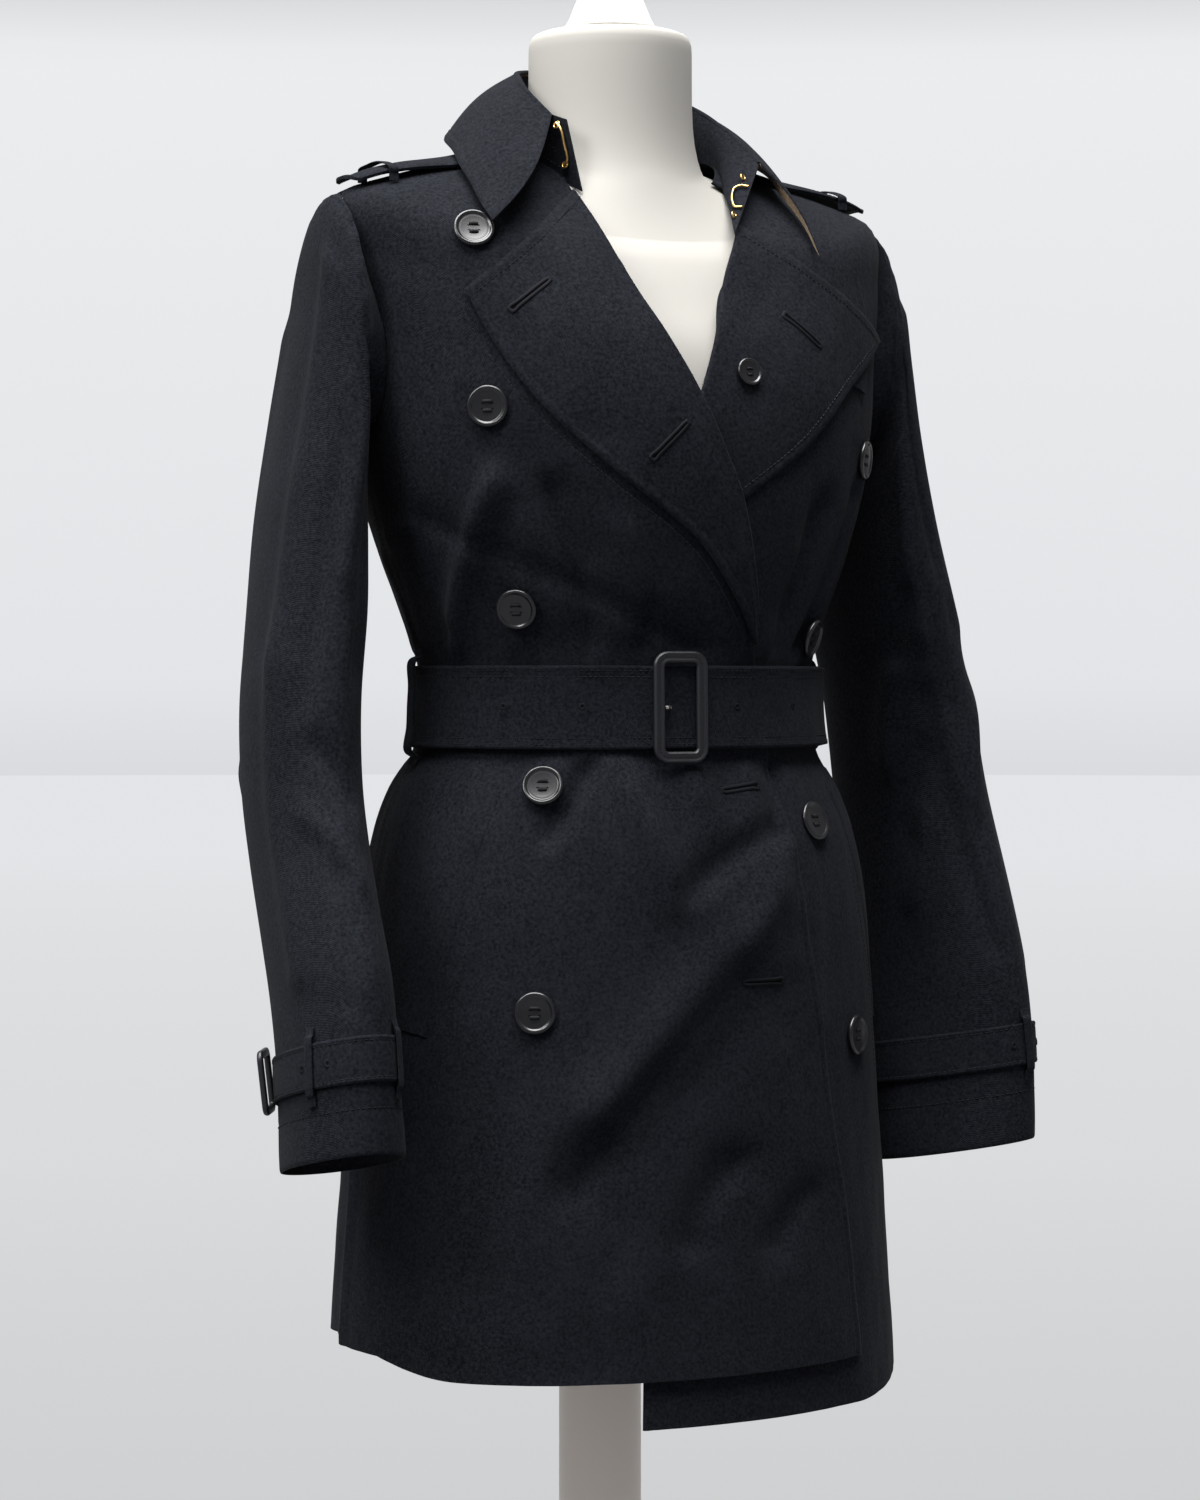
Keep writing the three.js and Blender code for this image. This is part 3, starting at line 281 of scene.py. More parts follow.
def table_curve(rows, value):
    """A Hermite curve through rows, read at values of their first column."""
    rows = np.asarray(rows, float)
    slopes = np.empty_like(rows)
    slopes[1:-1] = (rows[2:] - rows[:-2]) / (rows[2:, :1] - rows[:-2, :1])
    slopes[0] = (rows[1] - rows[0]) / (rows[1, 0] - rows[0, 0])
    slopes[-1] = (rows[-1] - rows[-2]) / (rows[-1, 0] - rows[-2, 0])
    value = np.asarray(value, float)
    i = np.clip(np.searchsorted(rows[:, 0], value) - 1, 0, len(rows) - 2)
    span = rows[i + 1, 0] - rows[i, 0]
    t = np.clip((value - rows[i, 0]) / span, 0, 1)[..., None]
    span = span[..., None]
    return ((2 * t**3 - 3 * t**2 + 1) * rows[i] + (t**3 - 2 * t**2 + t) * span * slopes[i]
            + (3 * t**2 - 2 * t**3) * rows[i + 1] + (t**3 - t**2) * span * slopes[i + 1])


def body_point(angle, level):
    """The ring at a level, as a squared oval: x = half sin, y = centre - deep cos, z rises to
    the front or back height. The angle is 0 at centre front and grows to the wearer's left."""
    angle, level = np.broadcast_arrays(np.asarray(angle, float), np.asarray(level, float))
    ring = np.moveaxis(table_curve(BODY_ROWS, level), -1, 0)
    _, front, side, back, half, deep_front, deep_back, centre_y, power = ring
    c, s = np.cos(np.radians(angle)), np.sin(np.radians(angle))
    deep = np.where(c > 0, deep_front, deep_back)
    rise = np.where(c > 0, front - side, back - side)
    return np.stack([
        half * np.sign(s) * np.abs(s) ** (2 / power),
        centre_y - deep * np.sign(c) * np.abs(c) ** (2 / power),
        side + rise * np.abs(c) ** 1.5,
    ], -1)


def unit(vectors):
    """Each vector divided by its length."""
    return vectors / np.maximum(np.linalg.norm(vectors, axis=-1, keepdims=True), 1e-9)


def body_normal(angle, level):
    """The cross product of the surface's two directions."""
    across = body_point(angle + 0.5, level) - body_point(angle - 0.5, level)
    up = body_point(angle, level + 0.5) - body_point(angle, level - 0.5)
    return unit(np.cross(across, up))


def solve_surface(target, axes, angle, level):
    """Newton's steps to the surface point whose two given coordinates are the target's."""
    u, w = axes
    for _ in range(25):
        p = body_point(angle, level)
        by_angle = (body_point(angle + 0.2, level) - p) * 5
        by_level = (body_point(angle, level + 0.2) - p) * 5
        scale = by_angle[..., u] * by_level[..., w] - by_level[..., u] * by_angle[..., w]
        du, dw = target[..., 0] - p[..., u], target[..., 1] - p[..., w]
        angle = angle + 0.7 * (du * by_level[..., w] - by_level[..., u] * dw) / scale
        level = level + 0.7 * (by_angle[..., u] * dw - du * by_angle[..., w]) / scale
    return angle, level


def locate(x, z):
    """The angle and level of the front surface's point seen at x, z."""
    x, z = np.broadcast_arrays(np.asarray(x, float), np.asarray(z, float))
    angle = np.degrees(np.arcsin(np.clip(x / 165, -0.9, 0.9)))
    return solve_surface(np.stack([x, z], -1), (0, 2), angle, z)


# The large folds, in the front view: x, z of both ends, half breadth and height
LARGE_FOLDS = [
    [-122, 1140, -115, 1214, 11, 5], [-62, 1138, -84, 1206, 14, -4], [-34, 1138, -44, 1184, 13, 3],
    [68, 1142, 90, 1200, 13, -5], [104, 1150, 122, 1198, 12, 3.5], [-40, 1030, -14, 974, 15, 3.5],
    [44, 972, -62, 858, 21, 6], [24, 922, -72, 812, 18, -4.5], [12, 820, -14, 782, 15, -2],
    [70, 800, 46, 770, 14, -2],
]
# The small ones: x, z of both ends, breadth on the line's left and right, height, bow
SMALL_FOLDS = [
    [-96, 1116, -100, 1190, 5, 9, 1.6, 4], [-56, 1108, -87, 1207, 5, 11, -3.4, 3],
    [-118, 1108, -117, 1213, 5, 12, 4.0, -3], [-126, 1108, -142, 1193, 5, 8, -3.5, 2],
    [60, 1112, 87, 1201, 5, 10, -2.2, 3], [82, 1116, 123, 1213, 5, 9, -4.0, 3],
    [-55, 1064, -86, 1011, 5, 10, -4.6, -4], [-45, 1062, -18, 975, 5, 10, 4.0, -4],
    [60, 1062, 52, 1013, 5, 8, -4.0, 2], [49, 1009, -12, 975, 6, 10, -5.0, 5],
    [60, 1001, -69, 851, 7, 13, 3.2, -3], [18, 929, -78, 810, 6, 12, -3.4, 4],
    [16, 822, -13, 778, 6, 10, -3.6, 3], [66, 800, 42, 776, 6, 9, -3.2, 2],
    [-2, 1064, 1, 1031, 5, 8, 2.6, 0], [-76, 1064, -75, 1033, 5, 8, 2.4, 0],
    [-32, 1108, -29, 1145, 5, 8, -2.8, 2],
    [-52, 1116, -60, 1160, 5, 8, 1.5, 3], [-20, 1116, -26, 1150, 6, 6, 1.3, 0],
    [-2, 1116, -8, 1142, 5, 8, -1.2, 2], [54, 1118, 74, 1176, 4, 8, 1.6, 4],
    [-138, 1122, -146, 1190, 5, 7, 1.6, 3],
    [-80, 1052, -84, 1000, 6, 9, 1.2, 3], [-60, 1052, -52, 1012, 5, 8, -1.3, 0],
    [-8, 1052, 4, 1018, 6, 9, 1.2, -3], [16, 1052, 22, 1022, 5, 8, -1.1, 0],
    [36, 1052, 40, 1000, 5, 8, 1.4, 4], [-112, 1052, -120, 1010, 5, 8, 1.3, 0],
    [60, 936, -24, 880, 7, 12, 1.3, 8], [10, 800, -52, 742, 9, 14, 1.4, 4],
    [-96, 840, -110, 730, 12, 16, 1.6, 6], [-60, 790, -70, 712, 10, 14, -1.4, 4],
    [-130, 900, -140, 730, 9, 14, 1.5, 5], [46, 880, 60, 760, 8, 12, 1.2, -5],
    [74, 1040, 80, 900, 6, 9, 1.2, 4], [-60, 1240, -110, 1216, 10, 14, -0.9, 5],
    [-130, 1270, -112, 1200, 10, 14, 1.0, 4], [120, 1240, 104, 1200, 7, 10, -0.9, 0],
]
# Round the sides and the back, as angle, level of both ends, with the same four numbers
HIDDEN_FOLDS = [
    [112, 1114, 118, 1200, 6, 10, 2.4, 4], [128, 1114, 140, 1180, 7, 10, -2.0, -4],
    [146, 1114, 150, 1225, 6, 12, 2.6, 5], [166, 1114, 164, 1170, 7, 9, -1.8, 0],
    [182, 1114, 186, 1210, 7, 12, 2.2, 4], [200, 1114, 194, 1176, 7, 9, -2.0, 0],
    [216, 1114, 208, 1232, 6, 12, 2.6, -5], [234, 1114, 226, 1184, 7, 10, -1.8, 3],
    [250, 1114, 244, 1206, 6, 10, 2.2, -4], [264, 1114, 262, 1170, 6, 9, 1.6, 0],
    [104, 1052, 108, 940, 8, 13, 2.0, 5], [124, 1052, 120, 880, 9, 15, 2.6, 8],
    [142, 1052, 148, 960, 8, 12, -1.8, -4], [160, 1052, 158, 840, 10, 16, 2.6, 6],
    [180, 1052, 184, 960, 8, 12, -1.6, 3], [196, 1052, 202, 860, 10, 15, 2.4, -8],
    [216, 1052, 210, 950, 8, 12, -1.8, 4], [236, 1052, 244, 820, 10, 15, 2.6, 6],
    [256, 1052, 252, 930, 8, 12, 1.8, -4], [96, 900, 98, 700, 9, 14, 2.4, 4],
    [264, 880, 262, 720, 9, 14, -2.4, -4], [270, 860, 272, 720, 8, 12, 2.6, 3],
    [150, 860, 152, 700, 14, 20, 2.2, 5], [210, 840, 206, 710, 14, 20, 2.0, -5],
    [178, 820, 180, 700, 12, 18, -1.6, 3], [150, 1320, 170, 1290, 14, 20, -1.2, 5],
    [212, 1318, 192, 1288, 14, 20, -1.2, -5],
]
DEGREE_AT_BODY = 2.5


def placed(folds):
    """The same folds with both ends as angle and level."""
    folds = np.array(folds, float)
    a0, z0 = locate(folds[:, 0], folds[:, 1])
    a1, z1 = locate(folds[:, 2], folds[:, 3])
    return np.column_stack([a0, z0, a1, z1, folds[:, 4:]])


def ridge_sum(angle, level, folds, scale=DEGREE_AT_BODY):
    """The sum of depth exp(-d^2) over folds, where d is the distance to the fold's bowed line
    over its breadth on that side, with angles counted as scale millimetres a degree."""
    total = np.zeros(np.broadcast(angle, level).shape)
    for a0, z0, a1, z1, left, right, depth, bow in folds:
        ax, az = (a1 - a0) * scale, z1 - z0
        px, pz = (angle - a0) * scale, level - z0
        long = math.hypot(ax, az)
        t = np.clip((px * ax + pz * az) / long**2, 0, 1)
        beyond = (px * ax + pz * az) / long - t * long
        off = (px * az - pz * ax) / long - bow * 4 * t * (1 - t)
        breadth = np.where(off < 0, left, right)
        total += depth * np.exp(-(off / breadth) ** 2 - (beyond / (0.5 * (left + right))) ** 2)
    return total


large_folds = np.insert(placed(LARGE_FOLDS), 5, placed(LARGE_FOLDS)[:, 4], axis=1)
large_folds = np.column_stack([large_folds, np.zeros(len(large_folds))])
small_folds = np.vstack([placed(SMALL_FOLDS), HIDDEN_FOLDS])


def fold_height(angle, level):
    """The large folds that the solids have too."""
    return ridge_sum(angle, level, large_folds)


def drape(angle, level):
    """The small folds, which the belt presses flat, and the cloth's slight unevenness."""
    angle = np.mod(np.asarray(angle, float) + 90, 360) - 90
    loose = 1 - smooth(1047, 1056, level) * (1 - smooth(1112, 1121, level))
    still = 1 - smooth(1330, 1390, level)
    uneven = 0.35 * np.sin(angle * 0.31 + level * 0.021) * np.sin(level * 0.047 - angle * 0.13)
    uneven += 0.2 * np.sin(angle * 0.83 - level * 0.033 + 1.3) * np.sin(level * 0.08 + angle * 0.21)
    return loose * (ridge_sum(angle, level, small_folds) + uneven * still)


def body_at(angle, level, lift, small=1.0):
    """The surface point moved out along its normal by lift and the folds' height."""
    high = lift + fold_height(angle, level)
    if small:
        high = high + small * drape(angle, level)
    return body_point(angle, level) + body_normal(angle, level) * high[..., None]


RIGHT_EDGE = [
    [112, 680], [99, 780], [87, 845], [78, 905], [68, 965], [60, 1021], [55, 1054], [50, 1085],
    [44, 1117], [36, 1158], [24, 1204], [12, 1232], [0, 1259], [-15, 1289], [-30, 1318],
    [-42, 1353], [-49, 1380], [-50, 1397],
]
LEFT_EDGE = [
    [-40, 660], [-46, 780], [-54, 905], [-60, 1021], [-55, 1054], [-50, 1085], [-44, 1117],
    [-36, 1158], [-24, 1204], [-12, 1232], [0, 1259], [14, 1291], [32, 1335], [52, 1369], [61, 1394],
]


def edge_rows(line):
    """An edge drawn in the front view, as rows of level and angle."""
    angle, level = locate(*np.array(line, float).T)
    return np.column_stack([level, angle])


right_edge = edge_rows(RIGHT_EDGE)
left_edge = edge_rows(LEFT_EDGE)


def edge_angle(rows, level):
    """The edge's angle at a level."""
    return table_curve(rows, level)[..., 1]


LEFT_LAPEL_LIFT = WALL + LAYER_STEP
RIGHT_OVERLAP_LIFT = LEFT_LAPEL_LIFT + WALL + LAYER_STEP
SKIRT_OVERLAP_LIFT = WALL + LAYER_STEP


def right_lift(angle, level):
    """The right front steps over the left one, and over its lapel above the belt."""
    upper = 1 - smooth(1300, 1400, level)
    over = mix(SKIRT_OVERLAP_LIFT * upper, RIGHT_OVERLAP_LIFT, smooth(1120, 1148, level) * upper)
    return smooth(-50, -26, angle) * over


def left_lift(angle, level):
    """The left front lies slack where the right one hides it."""
    hidden = 1 - smooth(-9, -1, angle - edge_angle(right_edge, level))
    folds = fold_height(angle, level) + drape(angle, level)
    return -hidden * (1.5 + np.maximum(0, folds))


def grid_object(name, outer, inner, materials, ring=False, inner_material=0):
    """A closed wall between two grids of points (rows, columns). With ring set, the last column
    joins the first. The UV map cloth is the distance along the rows and columns."""
    rows, columns = outer.shape[:2]
    spans = columns if ring else columns - 1
    i, j = (g.ravel() for g in np.meshgrid(np.arange(rows - 1), np.arange(spans), indexing="ij"))
    size = rows * columns

    def at(side, row, column):
        return side * size + row * columns + column % columns

    def seam(first, second):
        return np.stack([at(0, *first), at(0, *second), at(1, *second), at(1, *first)], -1)

    face = np.stack([at(0, i, j), at(0, i, j + 1), at(0, i + 1, j + 1), at(0, i + 1, j)], -1)
    back = np.stack([at(1, i, j), at(1, i + 1, j), at(1, i + 1, j + 1), at(1, i, j + 1)], -1)
    across, along = np.arange(spans), np.arange(rows - 1)
    rims = [seam((0 * across, across + 1), (0 * across, across)),
            seam((0 * across + rows - 1, across), (0 * across + rows - 1, across + 1))]
    if not ring:
        rims += [seam((along, 0 * along), (along + 1, 0 * along)),
                 seam((along + 1, 0 * along + columns - 1), (along, 0 * along + columns - 1))]
    quads = np.vstack([face, back, *rims])
    points = np.vstack([outer.reshape(-1, 3), inner.reshape(-1, 3)])
    p = points[quads]
    volume = np.einsum("ij,ij->i", p[:, 0], np.cross(p[:, 1], p[:, 2]) + np.cross(p[:, 2], p[:, 3])).sum()
    wrapped = np.concatenate([outer, outer[:, :1]], 1) if ring else outer
    u = np.cumsum(np.linalg.norm(np.diff(wrapped, axis=1, prepend=wrapped[:, :1]), axis=-1), 1)
    v = np.cumsum(np.linalg.norm(np.diff(wrapped, axis=0, prepend=wrapped[:1]), axis=-1), 0)
    uv = np.stack([u, v], -1)
    corners = [np.stack([uv[i, j], uv[i, j + 1], uv[i + 1, j + 1], uv[i + 1, j]], 1),
               np.stack([uv[i, j], uv[i + 1, j], uv[i + 1, j + 1], uv[i, j + 1]], 1)]
    corner_uv = np.zeros((len(quads), 4, 2))
    corner_uv[:2 * len(i)] = np.concatenate(corners)
    if volume < 0:
        quads, corner_uv = quads[:, ::-1], corner_uv[:, ::-1]
    kinds = np.zeros(len(quads), int)
    kinds[len(i):2 * len(i)] = inner_material
    return quads_object(name, points, quads, materials, corner_uv, kinds)


def grid_normals(points, ring=False):
    """The cross product of each grid point's two directions, from its neighbours."""
    if ring:
        across = np.roll(points, -1, 1) - np.roll(points, 1, 1)
    else:
        across = np.gradient(points, axis=1)
    return unit(np.cross(across, np.gradient(points, axis=0)))


def steps_with(marks, low, high, step):
    """Numbers from low to high, step apart, and finer at each of the marks."""
    fine = [low, high]
    for mark in marks:
        fine += [mark + d for d in (-3.4, -2.2, -1.2, -0.4, 0.4, 1.2, 2.2, 3.4)]
    coarse = np.linspace(low, high, max(2, round((high - low) / step) + 1))
    fine = np.array([f for f in fine if low <= f <= high])
    far = np.abs(coarse[:, None] - fine[None]).min(1) > 0.6
    return np.unique(np.concatenate([coarse[far], fine]))


EDGE_STITCH = 5.6


def sewn_edge(distance, stitch=EDGE_STITCH, height=0.35):
    """A rolled edge: a low swell from the edge to the stitches and a dent along them."""
    swell = height * np.exp(-((distance - stitch * 0.45) / (stitch * 0.4)) ** 2)
    dent = -0.7 * height * np.exp(-((distance - stitch) / 1.1) ** 2)
    roll = -0.5 * np.exp(-(distance / 0.8) ** 2)
    return swell + dent + roll


ARMHOLE_ROWS = np.array([
    [1243, 0], [1250, 9], [1262, 15], [1280, 18], [1300, 19], [1325, 18], [1345, 16], [1366, 12],
    [1380, 8], [1390, 0],
])


def armhole_spread(level):
    """How far the armhole's edge lies from the side seam, in degrees."""
    return np.interp(level, *ARMHOLE_ROWS.T)


def cloth_material(name, dark, light, sheen):
    """Close twill: a diagonal rib on the UV map, a slub of fine noise, and a soft sheen."""
    material = plain_material(
        name, dark, 0.85, Sheen_Weight=sheen, Sheen_Roughness=0.5, Specular_IOR_Level=0.04,
    )
    nodes = Nodes(material.node_tree)
    shader = material.node_tree.nodes["Principled BSDF"]
    uv = nodes.add("ShaderNodeUVMap", {"uv_map": "cloth"})
    part = nodes.add("ShaderNodeTexCoord", output=3)
    rib = nodes.add("ShaderNodeTexWave", {"bands_direction": "DIAGONAL"}, {
        "Vector": uv, "Scale": 480, "Distortion": 0.6, "Detail": 1,
    }, output=1)
    slub = nodes.add("ShaderNodeTexNoise", None, {"Vector": part, "Scale": 520, "Detail": 3})
    cloud = nodes.add("ShaderNodeTexNoise", None, {"Vector": part, "Scale": 26, "Detail": 4})
    shade = nodes.add("ShaderNodeMix", {"data_type": "RGBA"}, {
        0: (slub * 2.2 + cloud * 0.5).math("SUBTRACT", 0.85), 6: (*dark, 1), 7: (*light, 1),
    }, output=2)
    material.node_tree.links.new(shade.socket, shader.inputs["Base Color"])
    bump = nodes.add("ShaderNodeBump", None, {
        "Strength": 0.55, "Distance": 0.0004, "Height": rib * 0.35 + slub,
    })
    material.node_tree.links.new(bump.socket, shader.inputs["Normal"])
    return material


coat_cloth = cloth_material(
    "midnight twill", (0.0028, 0.0033, 0.0049), (0.0124, 0.0138, 0.0178), 0.012)
thread = plain_material("midnight thread", (0.008, 0.0088, 0.011), 0.7, Specular_IOR_Level=0.12)
UPPER_LEVEL = 1436


def finish_cloth(piece, node):
    """Rides the piece on the coat and hides its solid."""
    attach(piece, "root")
    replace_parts(piece, node)


def stitches(name, lines, width=0.5, pitch=3.1, rise=0.32):
    """Rows of stitches: each line is points and normals in millimetres, and each stitch is a
    low six-cornered hump 0.68 of a pitch long, set along the line's length."""
    shapes = []
    for points, normals in lines:
        long = np.concatenate([[0], np.cumsum(np.linalg.norm(np.diff(points, axis=0), axis=1))])
        starts = np.arange(pitch * 0.5, long[-1] - pitch * 0.8, pitch)

        def read(where, values):
            return np.stack([np.interp(where, long, values[:, k]) for k in range(3)], -1)

        near, far = read(starts, points), read(starts + pitch * 0.68, points)
        up = unit(read(starts + pitch * 0.34, normals))
        way = unit(far - near)
        side = np.cross(way, up) * width * 0.5
        middle = read(starts + pitch * 0.34, points)
        sunk, crown = up * 0.1, way * pitch * 0.2
        shapes.append(np.stack([
            near - side - sunk, near + side - sunk, far + side - sunk, far - side - sunk,
            middle - crown + up * rise, middle + crown + up * rise,
        ], 1))
    corners = np.concatenate(shapes)
    first = np.arange(len(corners))[:, None, None] * 6
    faces = np.array([[0, 3, 2, 1], [0, 1, 4, 4], [2, 3, 5, 5], [1, 2, 5, 4], [3, 0, 4, 5]])
    flat_faces = (first + faces[None]).reshape(-1, 4)
    mesh = bpy.data.meshes.new(name)
    mesh.from_pydata(
        (corners.reshape(-1, 3) * MM).tolist(), [],
        [face[:3] if face[2] == face[3] else face for face in flat_faces.tolist()],
    )
    mesh.materials.append(thread)
    piece = bpy.data.objects.new(name, mesh)
    bpy.context.collection.objects.link(piece)
    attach(piece, "root")
    return piece


def body_line(angle, level, lift):
    """Points and normals along a line on the body's surface."""
    angle, level = np.broadcast_arrays(np.asarray(angle, float), np.asarray(level, float))
    return body_at(angle, level, lift), body_normal(angle, level)


def front_grid(side, rows, hem):
    """The front panel between its free edge and the side seam: columns share the ring out,
    finely near the free edge, and the lowest rows follow the hem."""
    levels = steps_with([], 712, UPPER_LEVEL, 4.2)
    levels = np.unique(np.concatenate([levels, ARMHOLE_ROWS[:, 0]]))
    shares = steps_with([3, 6], 0, 260, 3.4) / 260
    from_angle = edge_angle(rows, levels)[:, None]
    seam = SIDE_SEAM - np.where((levels > 1243) & (levels < 1390), armhole_spread(levels), 0)
    seam = seam - 0.5 * SEAM_GAP / 2.7
    angle = mix(from_angle, side * seam[:, None], shares[None])
    level = np.broadcast_to(levels[:, None], angle.shape)
    hem_angle = mix(edge_angle(rows, np.array([690.0]))[:, None], side * seam[:1, None], shares[None])[0]
    hem_level = hem(hem_angle)
    steps = np.array([0, 1.2, 3, 6, 10, 15])[:, None]
    below = hem_level[None] + steps * np.minimum(1, (levels[0] - 1 - hem_level[None]) / 16)
    level = np.vstack([below, level])
    angle = np.vstack([np.repeat(angle[:1], len(steps), 0), angle])
    return angle, level


def front_panel(name, side, rows, hem, lift):
    """One front, with its sewn free edge."""
    angle, level = front_grid(side, rows, hem)
    base = body_at(angle, level, lift(angle, level))
    free = np.linalg.norm(base - base[:, :1], axis=-1)
    outer = base + body_normal(angle, level) * (WALL + sewn_edge(free))[..., None]
    piece = grid_object(name, outer, base, [coat_cloth])
    finish_cloth(piece, name.removesuffix("_panel"))
    return piece


def right_hem(angle):
    """The right front's hem level."""
    return mix(717, 701, smooth(-92, -50, angle))


def left_hem(angle):
    """The left front's hem level."""
    return mix(673, 690, smooth(36, 92, angle))


front_panel("front_right_panel", -1, right_edge, right_hem, right_lift)
front_panel("front_left_panel", 1, left_edge, left_hem, left_lift)

back_levels = np.unique(np.concatenate([steps_with([], 722, UPPER_LEVEL, 4.6), ARMHOLE_ROWS[:, 0]]))
back_shares = np.linspace(0, 1, 112)
back_seam = SIDE_SEAM + np.where(
    (back_levels > 1243) & (back_levels < 1390), armhole_spread(back_levels), 0) + 0.06
back_angle = mix(back_seam[:, None], 360 - back_seam[:, None], back_shares[None])
back_level = np.broadcast_to(back_levels[:, None], back_angle.shape)
back_hem = mix(690, 717, back_shares)[None]
back_steps = np.array([0, 0.04, 0.12, 0.3, 0.5, 0.75])[:, None]
back_level = np.vstack([back_hem + back_steps * (721 - back_hem), back_level])
back_angle = np.vstack([np.repeat(back_angle[:1], 6, 0), back_angle])
back_inner = body_at(back_angle, back_level, 0 * back_angle)
back_ridge = 0.5 * np.exp(-((back_angle - 180) / 0.9) ** 2) * smooth(1436, 1400, back_level)
back_outer = back_inner + body_normal(back_angle, back_level) * (WALL + back_ridge)[..., None]
back_panel = grid_object("back_panel", back_outer, back_inner, [coat_cloth])
finish_cloth(back_panel, "back")

upper_levels = np.arange(1122, 1242, 1.5)
body_stitches = [
    body_line(edge_angle(right_edge, lv) - EDGE_STITCH / 1.9, lv, right_lift(
        edge_angle(right_edge, lv) - EDGE_STITCH / 1.9, lv) + WALL - 0.2)
    for lv in (np.arange(703, 1052, 1.5), np.arange(1114, 1122, 1.5))
]
for way, lowest in ((-1, 719), (1, 693)):
    for lv in (np.arange(lowest, 1048, 1.5), upper_levels):
        body_stitches.append(body_line(way * (SIDE_SEAM + 1.8) + 0 * lv, lv, WALL + 0 * lv))
for lv in (np.arange(724, 1048, 1.5), np.arange(1122, 1425, 1.5)):
    body_stitches.append(body_line(181.6 + 0 * lv, lv, WALL + 0.1 + 0 * lv))
stitches("body_stitches", body_stitches)

# Lapels, gun flap and pocket welts: cloth sheets that lie on the fronts. Each lapel is the
# front turned back over its own edge, so it starts with a soft roll, and its outer edge is
# stitched 5.6 mm in. The flap shows only its lower corner; the welts are the slanted pockets.
RIGHT_LAPEL_ROLL = [
    [43, 1122], [36, 1158], [24, 1204], [12, 1232], [0, 1259], [-15, 1289], [-30, 1318],
    [-42, 1353], [-50, 1386],
]
RIGHT_LAPEL_EDGE = [[40, 1124], [0, 1177], [-51, 1217], [-90, 1253], [-113, 1288], [-128, 1323]]
LEFT_LAPEL_ROLL = [[-34, 1166], [-24, 1204], [0, 1259], [14, 1291], [32, 1335], [51, 1367]]
LEFT_LAPEL_EDGE = [[-28, 1168], [0, 1180], [28, 1205], [70, 1235], [110, 1272], [152, 1307]]
GUN_FLAP_INNER = [[80, 1288], [82, 1318], [84, 1345]]
GUN_FLAP_OUTER = [[131, 1272], [137, 1305], [134, 1345]]
POCKET_OUTER = [[-126, 1046], [-141, 1026], [-150, 994], [-154, 960], [-156, 899]]
POCKET_INNER = [[-106, 1036], [-116, 1014], [-126, 984], [-137, 941], [-146, 895]]
ROLL_RADIUS = 1.9


def line_at(points, t):
    """A Hermite curve through evenly keyed points, read at shares t of the way."""
    points = np.asarray(points, float)
    keys = np.linspace(0, 1, len(points))
    return table_curve(np.column_stack([keys, points]), t)[..., 1:]


def edge_distance(points, lines):
    """Each grid point's distance to the nearest sample of some lines."""
    samples = np.concatenate([line.reshape(-1, 3) for line in lines])
    flat = points.reshape(-1, 1, 3)
    return np.concatenate([
        np.linalg.norm(flat[k:k + 2000] - samples[None], axis=-1).min(1)
        for k in range(0, len(flat), 2000)
    ]).reshape(points.shape[:2])


def lapel_right_lift(angle, level, share):
    """Above the right front, and a little higher away from the roll."""
    return right_lift(angle, level) + WALL + 0.7 + (LAYER_STEP + 0.2) * smooth(0, 0.3, share)


def lapel_left_lift(angle, level, share):
    """Above the left front, and higher again over the gun flap."""
    return LEFT_LAPEL_LIFT + (WALL + 0.9) * smooth(14, 27, angle) + 0 * share


def laid_sheet(name, node, inner_line, outer_line, rows, columns, lift, flat, area, rests_on, roll=0,
               wall=WALL):
    """A sheet between two lines of the front view. Its columns share out the way between them,
    and with roll set, half circles at its first edge carry it down round the front's edge."""
    t, share = np.meshgrid(np.linspace(0, 1, rows), np.linspace(0, 1, columns), indexing="ij")
    xz = mix(line_at(inner_line, t), line_at(outer_line, t), share[..., None])
    angle, level = locate(xz[..., 0], xz[..., 1])
    base = body_at(angle, level, lift(angle, level, share))
    normal = body_normal(angle, level)
    sewn = edge_distance(base, [base[:, -1], base[-1] if roll else base[:, -1]])
    outer = base + normal * (wall + sewn_edge(sewn, height=0.3))[..., None]
    inner = base
    if roll:
        out = unit(base[:, :1] - base[:, 1:2])
        turn = np.radians(np.linspace(170, 15, 9))[None, :, None]
        centre = outer[:, :1] - normal[:, :1] * ROLL_RADIUS
        fade = smooth(0, 0.04, t[:, :1])[..., None]
        around = centre + ROLL_RADIUS * (out * np.sin(turn) * fade + normal[:, :1] * np.cos(turn))
        within = centre + 0.5 * ROLL_RADIUS * (out * np.sin(turn) * fade + normal[:, :1] * np.cos(turn))
        outer, inner = np.concatenate([around, outer], 1), np.concatenate([within, inner], 1)
    piece = grid_object(name, outer, inner, [coat_cloth])
    finish_cloth(piece, node)
    return piece


def front_stitches(xz, inset, lift):
    """A stitched line inset from a front view line, square to it and to its right."""
    line = line_at(xz, np.linspace(0.01, 0.985, 160))
    way = unit(np.gradient(line, axis=0))
    line = line + inset * np.stack([way[:, 1], -way[:, 0]], -1)
    angle, level = locate(line[:, 0], line[:, 1])
    return body_at(angle, level, lift(angle, level)), body_normal(angle, level)


